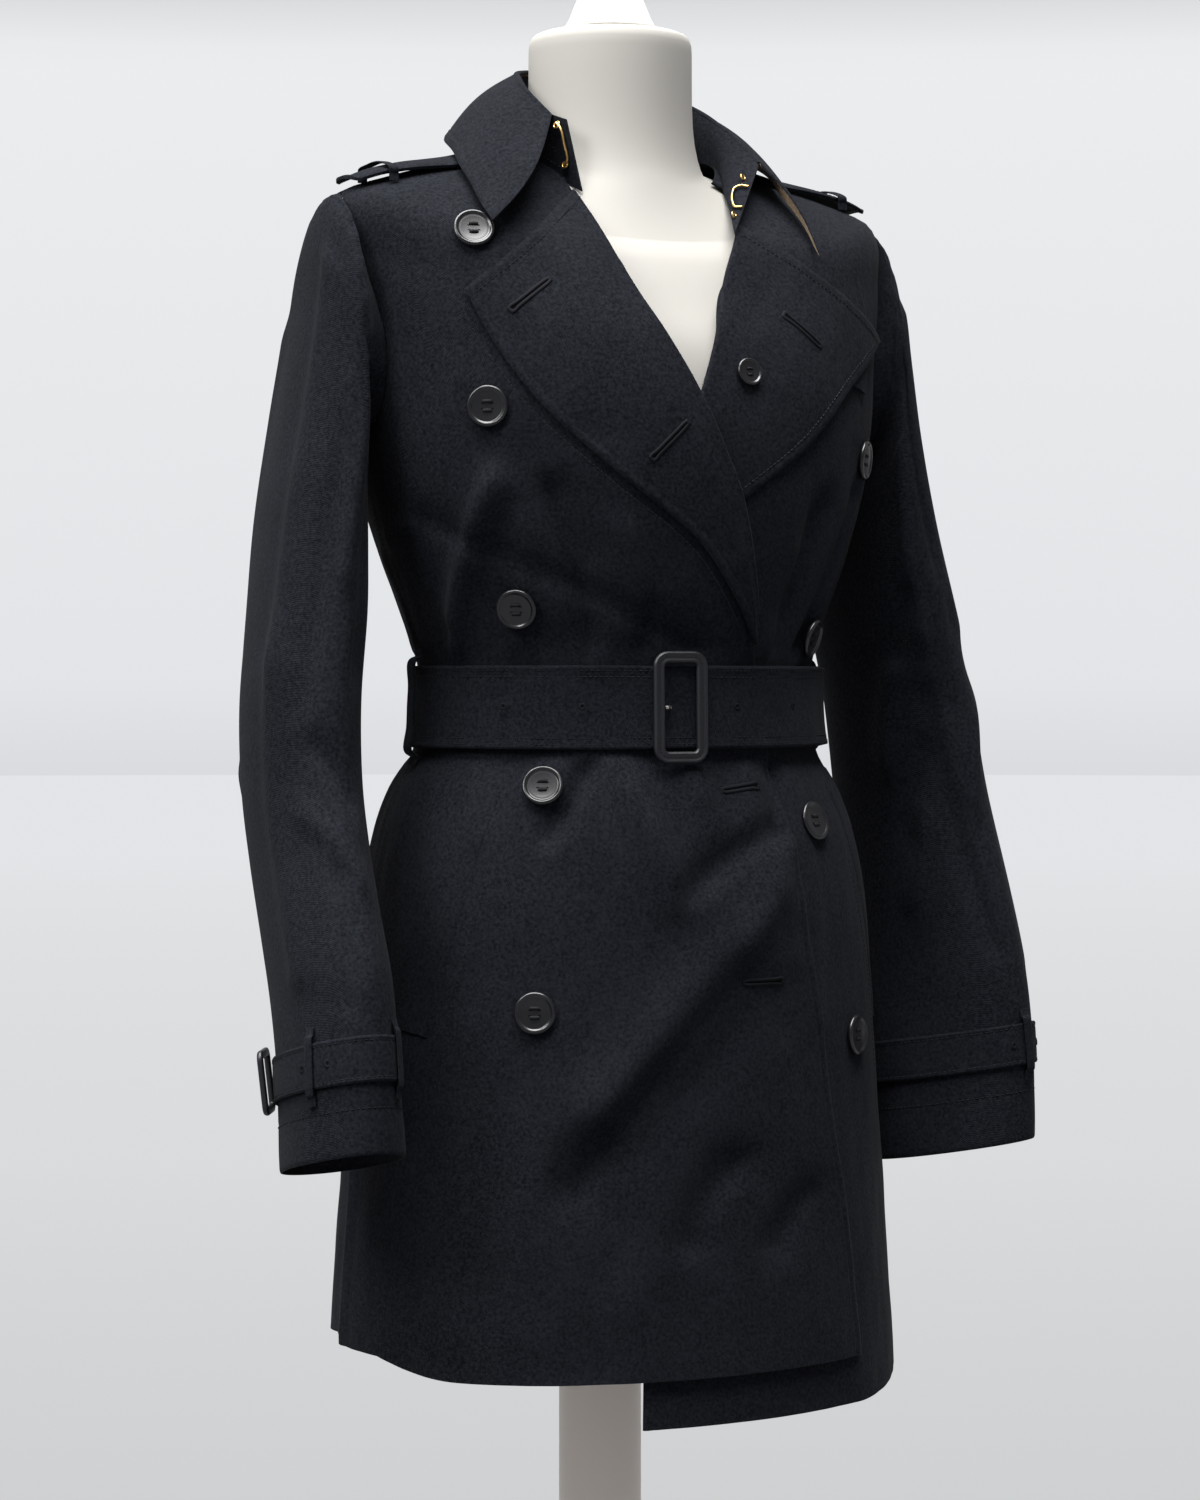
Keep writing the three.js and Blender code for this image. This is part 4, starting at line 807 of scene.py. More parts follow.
laid_sheet("lapel_right_sheet", "lapel_right", RIGHT_LAPEL_ROLL, RIGHT_LAPEL_EDGE, 120, 56,
           lapel_right_lift, (0.29, 0.12), 0.0193, ["front_right_panel"], roll=1)
laid_sheet("lapel_left_sheet", "lapel_left", LEFT_LAPEL_ROLL, LEFT_LAPEL_EDGE, 90, 56,
           lapel_left_lift, (0.25, 0.12), 0.0177, ["front_left_panel"], roll=1)
laid_sheet("gun_flap_sheet", "gun_flap", GUN_FLAP_INNER, GUN_FLAP_OUTER, 34, 26,
           lambda angle, level, share: WALL + 0.8 + 0 * share, (0.08, 0.056), 0.0042, ["front_left_panel"])
for name, node, flip in (("pocket_welt_right_sheet", "pocket_welt_right", 1),
                         ("pocket_welt_left_sheet", "pocket_welt_left", -1)):
    lines = [np.array(line, float) * (flip, 1) for line in (POCKET_OUTER, POCKET_INNER)]
    laid_sheet(name, node, *lines, 70, 12, lambda angle, level, share: WALL + 0.1 + 0 * share,
               (0.165, 0.055), 0.0078, ["front_right_panel" if flip > 0 else "front_left_panel"], wall=0.5)


def over_right_lapel(angle, level):
    """Just above the right lapel's face."""
    return lapel_right_lift(angle, level, 1.0 + 0 * angle) + WALL + 0.05


def over_left_lapel(angle, level):
    """Just above the left lapel's face."""
    return lapel_left_lift(angle, level, 0 * angle) + WALL + 0.05


def over_front(angle, level):
    """Just within a front's face."""
    return WALL - 0.02 + 0 * angle


POCKET_STITCH = [[-117, 995], [-128, 950], [-136, 915], [-141, 880], [-143, 862]]
POCKET_TOP = [[-126, 1047], [-116, 1041], [-106, 1034]]
stitches("lapel_stitches", [
    front_stitches(RIGHT_LAPEL_EDGE, -EDGE_STITCH, over_right_lapel),
    front_stitches([RIGHT_LAPEL_ROLL[-1], RIGHT_LAPEL_EDGE[-1]], -EDGE_STITCH, over_right_lapel),
    front_stitches(LEFT_LAPEL_EDGE, -EDGE_STITCH, over_left_lapel),
    front_stitches([LEFT_LAPEL_ROLL[-1], LEFT_LAPEL_EDGE[-1]], EDGE_STITCH, over_left_lapel),
    front_stitches(POCKET_STITCH, 0, over_front), front_stitches(POCKET_TOP, -2, over_front),
    front_stitches([[-x, z] for x, z in POCKET_STITCH], 0, over_front),
])

# Buttonholes: each a slit between two close rows of silk, with a round eye at one end and a bar at the
# other; the slit is a flat near-black sheet of painted shade. They are worked by machine, 24 mm long,
# through the lapels and the right front.
# Painted shade: a near-black colour laid in buttonhole slits, button holes and worked holes to stand for
# the shade within the openings.
painted_hole_shade = plain_material("painted hole shade", (0.0015, 0.0015, 0.002), 0.9, Specular_IOR_Level=0.05)
silk = plain_material("buttonhole silk", (0.0055, 0.006, 0.0078), 0.75, Specular_IOR_Level=0.08)
# name, x and z of both ends, the cloth that it is worked in
BUTTONHOLES = [
    ["buttonhole_lapel_right_1", -106, 1309, -83, 1327, over_right_lapel],
    ["buttonhole_lapel_right_2", -34, 1226, -12, 1247, over_right_lapel],
    ["buttonhole_lapel_left", 65, 1314, 88, 1296, over_left_lapel],
    ["buttonhole_front_1", 42, 1037, 17, 1035, lambda a, v: right_lift(a, v) + WALL],
    ["buttonhole_front_2", 48, 925, 22, 925, lambda a, v: right_lift(a, v) + WALL],
]


def buttonhole(name, x0, z0, x1, z1, lift):
    """A rounded welt round a long loop: half a circle of 1 mm carried round a stadium whose first end is
    wider, with short ribs across it, and within it a flat near-black sheet of painted shade for the slit."""
    turn = np.linspace(0, 2 * np.pi, 121)[:-1]
    along = np.array([x1 - x0, z1 - z0], float)
    long = np.linalg.norm(along)
    along, across = along / long, np.array([-along[1], along[0]]) / long
    middle = np.array([x0 + x1, z0 + z1]) / 2
    c, s = np.cos(turn), np.sin(turn)
    reach = np.sign(c) * np.abs(c) ** 0.25 * long / 2
    breadth = np.sign(s) * np.abs(s) ** 0.6 * (1.25 + 0.9 * np.exp(-((reach + long / 2) / 3.5) ** 2))
    section = np.linspace(-1, 1, 7)
    high = 0.75 * np.sqrt(1 - section**2) * (1 + 0.12 * np.sin(turn * 60))[:, None]
    out = 1.05 * section[None]
    far = reach[:, None] + out * np.sign(c)[:, None] * (np.abs(s) < 0.5)[:, None]
    wide = breadth[:, None] + out * np.sign(s)[:, None]
    grid = middle + far[..., None] * along + wide[..., None] * across
    angle, level = locate(grid[..., 0], grid[..., 1])
    base = body_at(angle, level, lift(angle, level))
    normal = body_normal(angle, level)
    outer = (base + normal * high[..., None]).transpose(1, 0, 2)
    inner = (base - normal * 0.3).transpose(1, 0, 2)
    piece = grid_object(name, outer, inner, [silk], ring=True)
    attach(piece, "root")
    share = np.linspace(0, 1, 4)[:, None, None]
    slit = middle + share * (grid[:, 0] - middle)
    angle, level = locate(slit[..., 0], slit[..., 1])
    base = body_at(angle, level, lift(angle, level))
    normal = body_normal(angle, level)
    # The slit: a flat near-black sheet, painted shade where the cut opens.
    hole = grid_object(name + "_slit", base + normal * 0.12, base - normal * 0.3, [painted_hole_shade], ring=True)
    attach(hole, "root")


for row in BUTTONHOLES:
    buttonhole(*row)

# Sleeves: one tube of twill each, set into the armhole, empty and flattened front to back. The
# tables give each ring's outer and inner points, its centre, depth, turn and tilt.
ARMHOLE_MIDDLE, ARMHOLE_HALF = 1316.5, 73.5
# out x, out z, in x, in z, y, deep, turn, tilt
RIGHT_SLEEVE_ROWS = np.array([
    [180, 1384, 171, 1239, -11, 48, 0, 0], [186, 1376, 172, 1232, -10, 50, 0, 0],
    [191, 1354, 171, 1224, -8, 53, 0, 0], [195, 1318, 168, 1210, -6, 57, 0, 0],
    [203, 1268, 167, 1192, -5, 61, 0, 0], [215, 1205, 166, 1168, -7, 62, 0, 0],
    [223, 1147, 167, 1138, -10, 63, 0, 0], [231, 1088, 173, 1088, -16, 63, 0, 2],
    [232, 1040, 175, 1040, -22, 63, 0, 6], [233, 1000, 177, 1000, -38, 62, 0, 10],
    [234, 960, 178, 960, -58, 61, 0, 13], [235, 925, 177, 925, -74, 60, 0, 13],
    [236, 892, 177, 892, -84, 57, 0, 13], [237, 867, 177, 867, -89, 56, 0, 13],
    [239, 828, 175, 828, -95, 53, 0, 13],
], float)
LEFT_SLEEVE_ROWS = np.array([
    [178, 1381, 171, 1239, -11, 47, 0, 0], [182, 1372, 172, 1232, -10, 48, 2, 0],
    [185, 1350, 171, 1224, -9, 51, 3, 0], [187, 1316, 168, 1210, -7, 55, 5, 0],
    [193, 1266, 167, 1192, -5, 59, 6, 0], [204, 1203, 166, 1168, -5, 62, 8, 0],
    [219, 1140, 169, 1128, -8, 63, 10, 0], [230, 1087, 175, 1087, -12, 63, 11, 0],
    [235, 1025, 179, 1025, -21, 63, 13, 3], [238, 963, 182, 963, -36, 62, 20, 6],
    [241, 915, 183, 915, -47, 60, 28, 8], [243, 881, 182, 881, -53, 58, 34, 9],
    [244, 856, 181, 856, -57, 56, 38, 9], [245, 810, 179, 810, -62, 53, 44, 9],
], float)
# Folds on a sleeve: turn in degrees and row of both ends, two breadths, height, bow. A turn of 0
# is the top, 90 the front, 180 the side next to the body and 270 the back.
RIGHT_SLEEVE_FOLDS = [
    [28, 3.2, 24, 7.6, 9, 17, 2.2, 3], [24, 7.6, 20, 11.8, 9, 17, 1.8, -2],
    [64, 5.2, 50, 8.0, 9, 14, -1.6, 3], [100, 2.5, 84, 6.6, 8, 12, 1.6, 4],
    [60, 8.6, 100, 9.4, 8, 11, -1.8, 3], [48, 9.6, 96, 10.6, 8, 12, 1.6, 3],
    [120, 4.6, 110, 7.6, 8, 11, -1.6, 0], [70, 10.6, 64, 12.4, 8, 12, -1.2, 2],
    [300, 8.8, 250, 9.8, 8, 12, 2.0, 4], [290, 10.2, 245, 10.9, 8, 12, -1.8, 3],
    [310, 4.0, 290, 8.0, 10, 14, 1.8, 4], [250, 5.0, 262, 8.4, 9, 13, -1.8, 3],
]
LEFT_SLEEVE_FOLDS = [
    [52, 3.0, 60, 7.0, 9, 13, 1.8, 4], [92, 2.5, 86, 6.2, 8, 12, -1.6, 3],
    [76, 7.0, 110, 8.0, 8, 12, -1.6, 3], [60, 8.0, 100, 9.0, 8, 12, 1.5, 3],
    [112, 4.0, 122, 7.0, 8, 12, 1.6, 2], [40, 8.6, 56, 10.8, 10, 14, 1.4, 3],
    [150, 7.6, 168, 8.6, 7, 10, 2.0, 2], [140, 8.6, 160, 9.4, 7, 10, -1.8, 2],
    [150, 9.2, 168, 10.0, 7, 10, 1.8, -2], [128, 6.6, 150, 7.4, 7, 10, -1.6, 2],
    [130, 8.0, 118, 10.6, 8, 12, -1.4, 2], [300, 8.2, 250, 9.2, 8, 12, 1.8, 4],
    [290, 9.6, 245, 10.3, 8, 12, -1.6, 3], [310, 4.0, 290, 7.6, 10, 14, 1.6, 4],
    [250, 5.0, 262, 8.0, 9, 13, -1.6, 3],
]
# Millimetres along a sleeve in a row, and round it in a degree
ROW_AT_SLEEVE = 42
DEGREE_AT_SLEEVE = 1.05
SLEEVE_FOLD_GAIN = 1.6


def sleeve_point(side, rows, row, turn, lift):
    """Row 0 is the armhole's rim and row k + 1 the table's ring k: centre + out (long + lift)
    cos turn + front (deep + lift) sin turn."""
    row, turn = np.broadcast_arrays(np.asarray(row, float), np.asarray(turn, float))
    keyed = np.column_stack([np.arange(1, len(rows) + 1), rows])
    ring = np.moveaxis(table_curve(keyed, np.maximum(row, 1)), -1, 0)[1:]
    out_x, out_z, in_x, in_z, y, deep, swing, tilt = ring
    swing, tilt, phi = np.radians(swing), np.radians(tilt), np.radians(turn)
    dx, dz = (out_x - in_x) / 2, (out_z - in_z) / 2
    centre = np.stack([side * (out_x + in_x) / 2, y, (out_z + in_z) / 2], -1)
    out = unit(np.stack([side * dx * np.cos(swing), dx * np.sin(swing), dz], -1))
    ahead = np.stack([side * np.sin(swing) * np.cos(tilt), -np.cos(swing) * np.cos(tilt), np.sin(tilt)], -1)
    tube = (centre + out * ((np.hypot(dx, dz) + lift) * np.cos(phi))[..., None]
            + ahead * ((deep + lift) * np.sin(phi))[..., None])
    level = ARMHOLE_MIDDLE + ARMHOLE_HALF * np.cos(phi)
    way = np.where(np.mod(turn, 360) < 180, -1, 1)
    rim = body_at(side * (SIDE_SEAM + way * armhole_spread(level)), level, WALL * 0.9 + 0 * level)
    inward = body_point(side * SIDE_SEAM, ARMHOLE_MIDDLE) - rim
    inward[..., 0] = 0
    rim = rim + unit(inward) * (0.6 + SEAM_GAP - lift)
    return mix(rim, tube, np.clip(row, 0, 1)[..., None])


def sleeve_folds(row, turn, folds, strap):
    """Folds of the sleeve, pressed flat at the strap, and puckers at the armhole seam."""
    turn = np.mod(turn, 360)
    high = ridge_sum(turn, row * ROW_AT_SLEEVE, np.array([
        [a, r * ROW_AT_SLEEVE, b, q * ROW_AT_SLEEVE, *rest] for a, r, b, q, *rest in folds
    ]), DEGREE_AT_SLEEVE)
    loose = 1 - smooth(strap[0] - 0.5, strap[0], row) * (1 - smooth(strap[1], strap[1] + 0.3, row))
    head = 0.3 * np.sin(np.radians(turn) * 23) * np.exp(-((row - 1.4) / 0.7) ** 2)
    return (SLEEVE_FOLD_GAIN * high * smooth(1.2, 2.4, row) + head) * loose


def sleeve(name, side, rows, folds, strap):
    """One sleeve's tube, with its armhole seam's swell and a stitched hem."""
    count = len(rows)
    row = np.unique(np.concatenate([
        np.linspace(0, 1, 4), np.linspace(1, 3, 26), np.linspace(3, count - 0.2, 160),
        np.linspace(count - 0.2, count, 8),
    ]))[:, None]
    turn = np.linspace(0, 360, 97)[None, :-1]
    base = sleeve_point(side, rows, row, turn, 0.0)
    normal = grid_normals(base, ring=True)
    normal *= np.sign(np.sum(normal[60, 0] * (base[60, 0] - base[60].mean(0))))
    swell = 0.5 * np.exp(-((row - 1.15) / 0.16) ** 2) - 0.5 * np.exp(-((row - 0.98) / 0.08) ** 2)
    hem = (count - row) * 39
    high = sleeve_folds(row, turn, folds, strap) + swell + sewn_edge(hem, 25, 0.25)
    outer = base + normal * high[..., None]
    inner = base + normal * (high - WALL)[..., None]
    piece = grid_object(name, outer, inner, [coat_cloth], ring=True)
    finish_cloth(piece, name.removesuffix("_tube"))
    return piece


RIGHT_STRAP, LEFT_STRAP = (13, 14), (12, 13)
sleeve("sleeve_right_tube", -1, RIGHT_SLEEVE_ROWS, RIGHT_SLEEVE_FOLDS, RIGHT_STRAP)
sleeve("sleeve_left_tube", 1, LEFT_SLEEVE_ROWS, LEFT_SLEEVE_FOLDS, LEFT_STRAP)

# Cuff straps: a strap of twill round each wrist with two rows of stitches, held by two loops, and
# closed by a buckle whose frame is covered in black leather. Its holes are worked in thread.
CUFF_STRAP_LIFT = 0.8
CUFF_STRAP_TALL = 25
HOLE_RADIUS = 2.0
leather = plain_material(
    "covered leather", (0.0075, 0.008, 0.0105), 0.42, Specular_IOR_Level=0.35,
    Coat_Weight=0.12, Coat_Roughness=0.35,
)
steel = plain_material("plain steel", (0.55, 0.53, 0.5), 0.3, Metallic=1.0)


def faces_object(name, points, faces, materials, sharp=50):
    """A mesh object from points in millimetres and faces that are closed already."""
    p = [points[[face[k] for face in faces]] for k in range(3)]
    volume = np.einsum("ij,ij->i", p[0], np.cross(p[1], p[2])).sum()
    if volume < 0:
        faces = [face[::-1] for face in faces]
    mesh = bpy.data.meshes.new(name)
    mesh.from_pydata((points * MM).tolist(), [], faces)
    for material in materials:
        mesh.materials.append(material)
    mesh.shade_smooth()
    mesh.set_sharp_from_angle(angle=math.radians(sharp))
    mesh.update()
    piece = bpy.data.objects.new(name, mesh)
    bpy.context.collection.objects.link(piece)
    return piece


def tube_faces(rows, columns, closed):
    """The faces of a tube whose rings have the given columns: a loop, or with capped ends."""
    spans = rows if closed else rows - 1
    i, j = (g.ravel() for g in np.meshgrid(np.arange(spans), np.arange(columns), indexing="ij"))
    k, n = (j + 1) % columns, (i + 1) % rows
    faces = np.stack([i * columns + j, i * columns + k, n * columns + k, n * columns + j], -1).tolist()
    if not closed:
        faces += [list(range(columns))[::-1], list(range((rows - 1) * columns, rows * columns))]
    return faces


def tube_object(name, rings, materials, closed=False, sharp=60):
    """A tube from rings of points (rings, points in a ring)."""
    count, columns = rings.shape[:2]
    return faces_object(name, rings.reshape(-1, 3), tube_faces(count, columns, closed), materials, sharp)


def strap_piece(name, path, across, half, outside, thick, node, steps=60):
    """A flat strap along a smooth path: its width lies across, its thickness towards outside,
    with its long edges rounded off."""
    path = line_at(path, np.linspace(0, 1, steps))
    share = np.linspace(-1, 1, 13)
    base = path[:, None] + share[None, :, None] * half * across
    normal = unit(np.cross(np.gradient(path, axis=0), across))[:, None]
    normal = normal * np.sign(np.sum(normal[steps // 2, 0] * outside))
    edge = (half - np.abs(share) * half)[None, :, None]
    high = thick - 0.45 * np.exp(-(edge / 0.5) ** 2)
    piece = grid_object(name, base + normal * high, base + normal * (thick - high), [coat_cloth])
    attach(piece, "root")
    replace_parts(piece, node)


def facing(normal):
    """The side and top directions of a flat piece that faces along a normal."""
    top = unit(np.array([0, 0, 1.0]) - normal[2] * normal)
    return np.cross(top, normal), top


def worked_hole(name, place, normal, radius=HOLE_RADIUS):
    """A hole worked in thread: a low ring of half rounds about a near-black disc of painted shade where it
    opens.
    """
    side, top = facing(normal)
    turn = np.linspace(0, 2 * np.pi, 33)[:-1, None]
    section = np.linspace(0, 2 * np.pi, 9)[None, :-1]
    reach = radius * 0.8 + 0.42 * radius * np.cos(section) * (1 + 0.08 * np.cos(turn * 16))
    high = 0.3 * np.sin(section) + 0.05
    ring = (place + reach[..., None] * (np.cos(turn)[..., None] * side + np.sin(turn)[..., None] * top)
            + high[..., None] * normal)
    piece = tube_object(name, ring, [silk], closed=True)
    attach(piece, "root")
    # The middle: a near-black disc of painted shade where the hole opens.
    disc = np.stack([place + (ring[:, 4] - place) * 0.98 + normal * d for d in (-0.15, 0.1)])
    dark = tube_object(name + "_dark", disc, [painted_hole_shade])
    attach(dark, "root")


def covered_frame(name, node, wide, tall, bar, corner, thick, place, normal):
    """A buckle frame: a section with a bead along each edge and a dent between them, carried
    round a rounded rectangle, with a row of stitches in the dent."""
    side, top = facing(normal)
    radius = corner - bar / 2
    hx, hy = (wide - bar) / 2 - radius, (tall - bar) / 2 - radius
    corners = [(hx, hy, 0), (-hx, hy, 90), (-hx, -hy, 180), (hx, -hy, 270)]
    quarter = np.linspace(0, 90, 14)
    path, out = [], []
    for cx, cy, start in corners:
        turn = np.radians(start + quarter)
        ray = np.stack([np.cos(turn), np.sin(turn)], -1)
        path.append(np.array([cx, cy]) + radius * ray)
        out.append(ray)
        straight = np.linspace(0, 1, 14 if start in (0, 180) else 22)[1:-1, None]
        ahead = {0: (-hx, hy), 90: (-hx, -hy), 180: (hx, -hy), 270: (hx, hy)}[start]
        path.append(mix(path[-1][-1:], np.array(ahead) + radius * ray[-1], straight))
        out.append(np.repeat(ray[-1:], len(straight), 0))
    path, out = np.concatenate(path), np.concatenate(out)
    a = np.linspace(0, 2 * np.pi, 41)[:-1]
    across = bar / 2 * np.sign(np.cos(a)) * np.abs(np.cos(a)) ** 0.7
    high = thick / 2 + thick / 2 * np.sign(np.sin(a)) * np.abs(np.sin(a)) ** 0.6
    bead = np.exp(-((np.abs(across) / (bar / 2) - 0.62) / 0.26) ** 2)
    high = np.where(np.sin(a) > 0, high * (0.8 + 0.2 * bead), high)
    flat = path[:, None] + out[:, None] * across[None, :, None]
    ring = place + flat[..., :1] * side + flat[..., 1:] * top + high[None, :, None] * normal
    piece = tube_object(name, ring, [leather], closed=True, sharp=70)
    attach(piece, "root")
    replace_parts(piece, node)
    row = np.concatenate([path, path[:1]])
    points = place + row[:, :1] * side + row[:, 1:] * top + thick * 0.8 * normal
    stitches(name + "_stitches", [(points, np.repeat(normal[None], len(points), 0))], 0.45, 2.6, 0.25)


def cuff(label, side, rows, first, buckle_turn, buckle_clear, loop_turns, holes):
    """One cuff's strap, buckle and loops, between two rings of the sleeve."""
    def between(t, turn, lift):
        return mix(sleeve_point(side, rows, first + 0 * t, turn, lift),
                   sleeve_point(side, rows, first + 1 + 0 * t, turn, lift), np.asarray(t, float)[..., None])

    t = np.array([0, 0.4, 0.9, 1.6, 2.4, 3.2, 4.2, 6, 9, 12.5]) / CUFF_STRAP_TALL
    t = np.concatenate([t, 1 - t[-2::-1]])[:, None]
    turn = np.linspace(0, 360, 145)[None, :-1]
    edge = np.minimum(t, 1 - t) * CUFF_STRAP_TALL
    inner = between(t + 0 * turn, turn + 0 * t, CUFF_STRAP_LIFT)
    outward = unit(between(t + 0 * turn, turn + 0 * t, 10) - inner)
    face = WALL + sewn_edge(edge, 2.6, 0.3) + 0 * turn
    outer = inner + outward * face[..., None]
    strap = grid_object(f"cuff_strap_{label}_cloth", outer, inner, [coat_cloth], ring=True)
    finish_cloth(strap, f"cuff_strap_{label}")
    rounds = np.linspace(0, 360, 240)
    high = CUFF_STRAP_LIFT + WALL - 0.05
    lines = []
    for t_row in (2.6 / CUFF_STRAP_TALL, 1 - 2.6 / CUFF_STRAP_TALL):
        points = between(t_row + 0 * rounds, rounds, high)
        lines.append((points, unit(between(t_row + 0 * rounds, rounds, 10) - points)))
    hem_points = sleeve_point(side, rows, len(rows) - 0.62, rounds, 0.15)
    lines.append((hem_points, unit(sleeve_point(side, rows, len(rows) - 0.62, rounds, 10) - hem_points)))
    stitches(f"cuff_{label}_stitches", lines)
    middle = between(0.5, buckle_turn, CUFF_STRAP_LIFT + WALL + buckle_clear)
    covered_frame(f"cuff_buckle_{label}_frame", f"cuff_buckle_{label}", 30, 37, 5, 6, 3.5, middle,
                  unit(between(0.5, buckle_turn, 10.0) - between(0.5, buckle_turn, 0.0)))
    for k, at in enumerate(loop_turns):
        stations = [
            (-0.36, 0.7), (-0.16, 1.6), (-0.06, 3.0), (0.5, 3.1), (1.06, 3.0), (1.16, 1.6), (1.36, 0.7),
        ]
        path = np.array([between(s, at, lift) for s, lift in stations])
        across = unit(between(0.5, at + 2, 2.0) - between(0.5, at - 2, 2.0))
        outside = between(0.5, at, 10.0) - between(0.5, at, 0.0)
        node = f"cuff_loop_{label}_{k + 1}"
        strap_piece(node + "_cloth", path, across, 3.2, outside, 1.2, node)
    for k, at in enumerate(holes):
        place = between(0.5, at, high + 0.05)
        worked_hole(f"cuff_hole_{label}_{k + 1}", place, unit(between(0.5, at, 10.0) - place))


cuff("right", -1, RIGHT_SLEEVE_ROWS, 13, 329.8, 2.2, (30.2, 119.8), (22.0, 46.0))
cuff("left", 1, LEFT_SLEEVE_ROWS, 12, 0.0, 0.7, (103.0, 257.0), (80.0, 118.0))

# Collar: a leaf that turns over along its ridge and a band under it that stands round the neck.
# Both are twill; the leaf's underside is plain tan cotton, with a stitched edge.
COLLAR_STATIONS = 145
NECK_CENTRE_Y = -14
# The leaf's swell, how far its right front corner bows out, how far the band's right end reaches
# ahead, and how far the band goes on below its foot at its ends
LEAF_BULGE, END_BOW, STAND_AHEAD, STAND_BELOW = 5, 13, 9, 8
FALL_EDGE = [
    [-112, -92, 1364], [-112, -47, 1399], [-103, -6, 1421], [-76, 38, 1432], [0, 64, 1438],
    [78, 38, 1430], [100, -6, 1419], [98.5, -50, 1396.5], [100, -93, 1354],
]
COLLAR_RIDGE = [
    [-56, -51, 1432], [-62, -30, 1449], [-57, -6, 1461], [-41, 27, 1471], [0, 45, 1475],
    [46, 27, 1466], [68, 3, 1452], [74, -24, 1436], [80, -56, 1412],
]
STAND_FOOT = [
    [-46.5, -64, 1394.5], [-60.5, -37, 1412.5], [-65.5, -20, 1419], [-50, 25, 1429.5], [0, 42, 1436],
    [50, 25, 1429.5], [65, -20, 1418.5], [56, -60, 1393.5], [46.5, -91, 1368],
]
tan_cotton = cloth_material("plain tan cotton", (0.30, 0.21, 0.125), (0.42, 0.31, 0.2), 0.05)


def through(points, stations):
    """The centripetal Catmull-Rom curve through points, at evenly keyed stations."""
    p = np.asarray(points, float)
    p = np.vstack([2 * p[0] - p[1], p, 2 * p[-1] - p[-2]])
    key = np.linspace(0, len(points) - 1, stations)
    i = np.minimum(key.astype(int), len(points) - 2)
    t = (key - i)[:, None]
    a, b, c, d = p[i], p[i + 1], p[i + 2], p[i + 3]
    ab, bc, cd = (np.sqrt(np.linalg.norm(v, axis=1))[:, None] for v in (b - a, c - b, d - c))
    start = ((b - a) / ab - (c - a) / (ab + bc) + (c - b) / bc) * bc
    end = ((c - b) / bc - (d - b) / (bc + cd) + (d - c) / cd) * bc
    return b + start * t + (3 * (c - b) - 2 * start - end) * t**2 + (2 * (b - c) + start + end) * t**3


ridge_line, fall_line, foot_line = (
    through(line, COLLAR_STATIONS) for line in (COLLAR_RIDGE, FALL_EDGE, STAND_FOOT)
)
away = ridge_line - (0, NECK_CENTRE_Y, 0)
away[:, 2] = 0
away = unit(away)[:, None]
t = np.linspace(0, 1, 40)[None, :, None]
bulge = LEAF_BULGE * np.sin(np.pi * t)
station = np.linspace(0, 24, COLLAR_STATIONS)[:, None, None]
first_way = unit(ridge_line[0] - ridge_line[6])
bow_share = np.clip(1 - 0.6 * station, 0, 1) + 0.2 * np.clip(2 - station, 0, 1) * np.clip(station, 0, 1)
bow = END_BOW * np.sin(np.pi * t) * bow_share * first_way
waves = 1.1 * np.sin(station * 1.1 + 0.6) * t**2 + 0.7 * np.sin(station * 2.3) * t**3
fall = (mix(ridge_line[:, None], fall_line[:, None], t) + bow + away * (bulge * 0.6 + 1.7 + waves)
        + np.array([0, 0, 1.0]) * bulge * 0.8)
turn = np.radians(np.linspace(205, 12, 12))[None, :, None]
roll = (ridge_line[:, None] - away * 0.15 + (0, 0, -0.2)
        + 1.85 * (away * np.cos(turn) + np.array([0, 0, 1.0]) * np.sin(turn)))
fall_outer = np.concatenate([roll, fall[:, 1:]], 1)
fall_normal = unit(np.cross(np.gradient(fall_outer, axis=1), np.gradient(fall_outer, axis=0)))
leaf_edge = edge_distance(fall_outer, [fall_outer[:, -1], fall_outer[0, 12:], fall_outer[-1, 12:]])
leaf_edge = np.where(np.arange(fall_outer.shape[1])[None] < 14, 30, leaf_edge)
fall_face = fall_outer - fall_normal * sewn_edge(leaf_edge, height=0.3)[..., None]
under = WALL * np.concatenate([np.full(12, 0.55), np.ones(39)])[None, :, None]
leaf_under = fall_outer + fall_normal * under
leaf = grid_object("collar_leaf", fall_face, leaf_under, [coat_cloth, tan_cotton], inner_material=1)
finish_cloth(leaf, "collar_fall")


def inset_row(grid, normals, lift, edge, skip=3):
    """The line through a grid's rows at a distance in from its last column."""
    long = np.cumsum(np.linalg.norm(np.diff(grid[:, ::-1], axis=1, prepend=grid[:, -1:]), axis=-1), 1)
    place = np.array([np.interp(edge, row, np.arange(len(row))) for row in long])[skip:-skip]
    k = grid.shape[1] - 1 - place
    low = np.floor(k).astype(int)
    i = np.arange(skip, len(grid) - skip)
    points = mix(grid[i, low], grid[i, np.minimum(low + 1, grid.shape[1] - 1)], (k - low)[:, None])
    return points + normals[i, low] * lift, normals[i, low] * np.sign(lift)


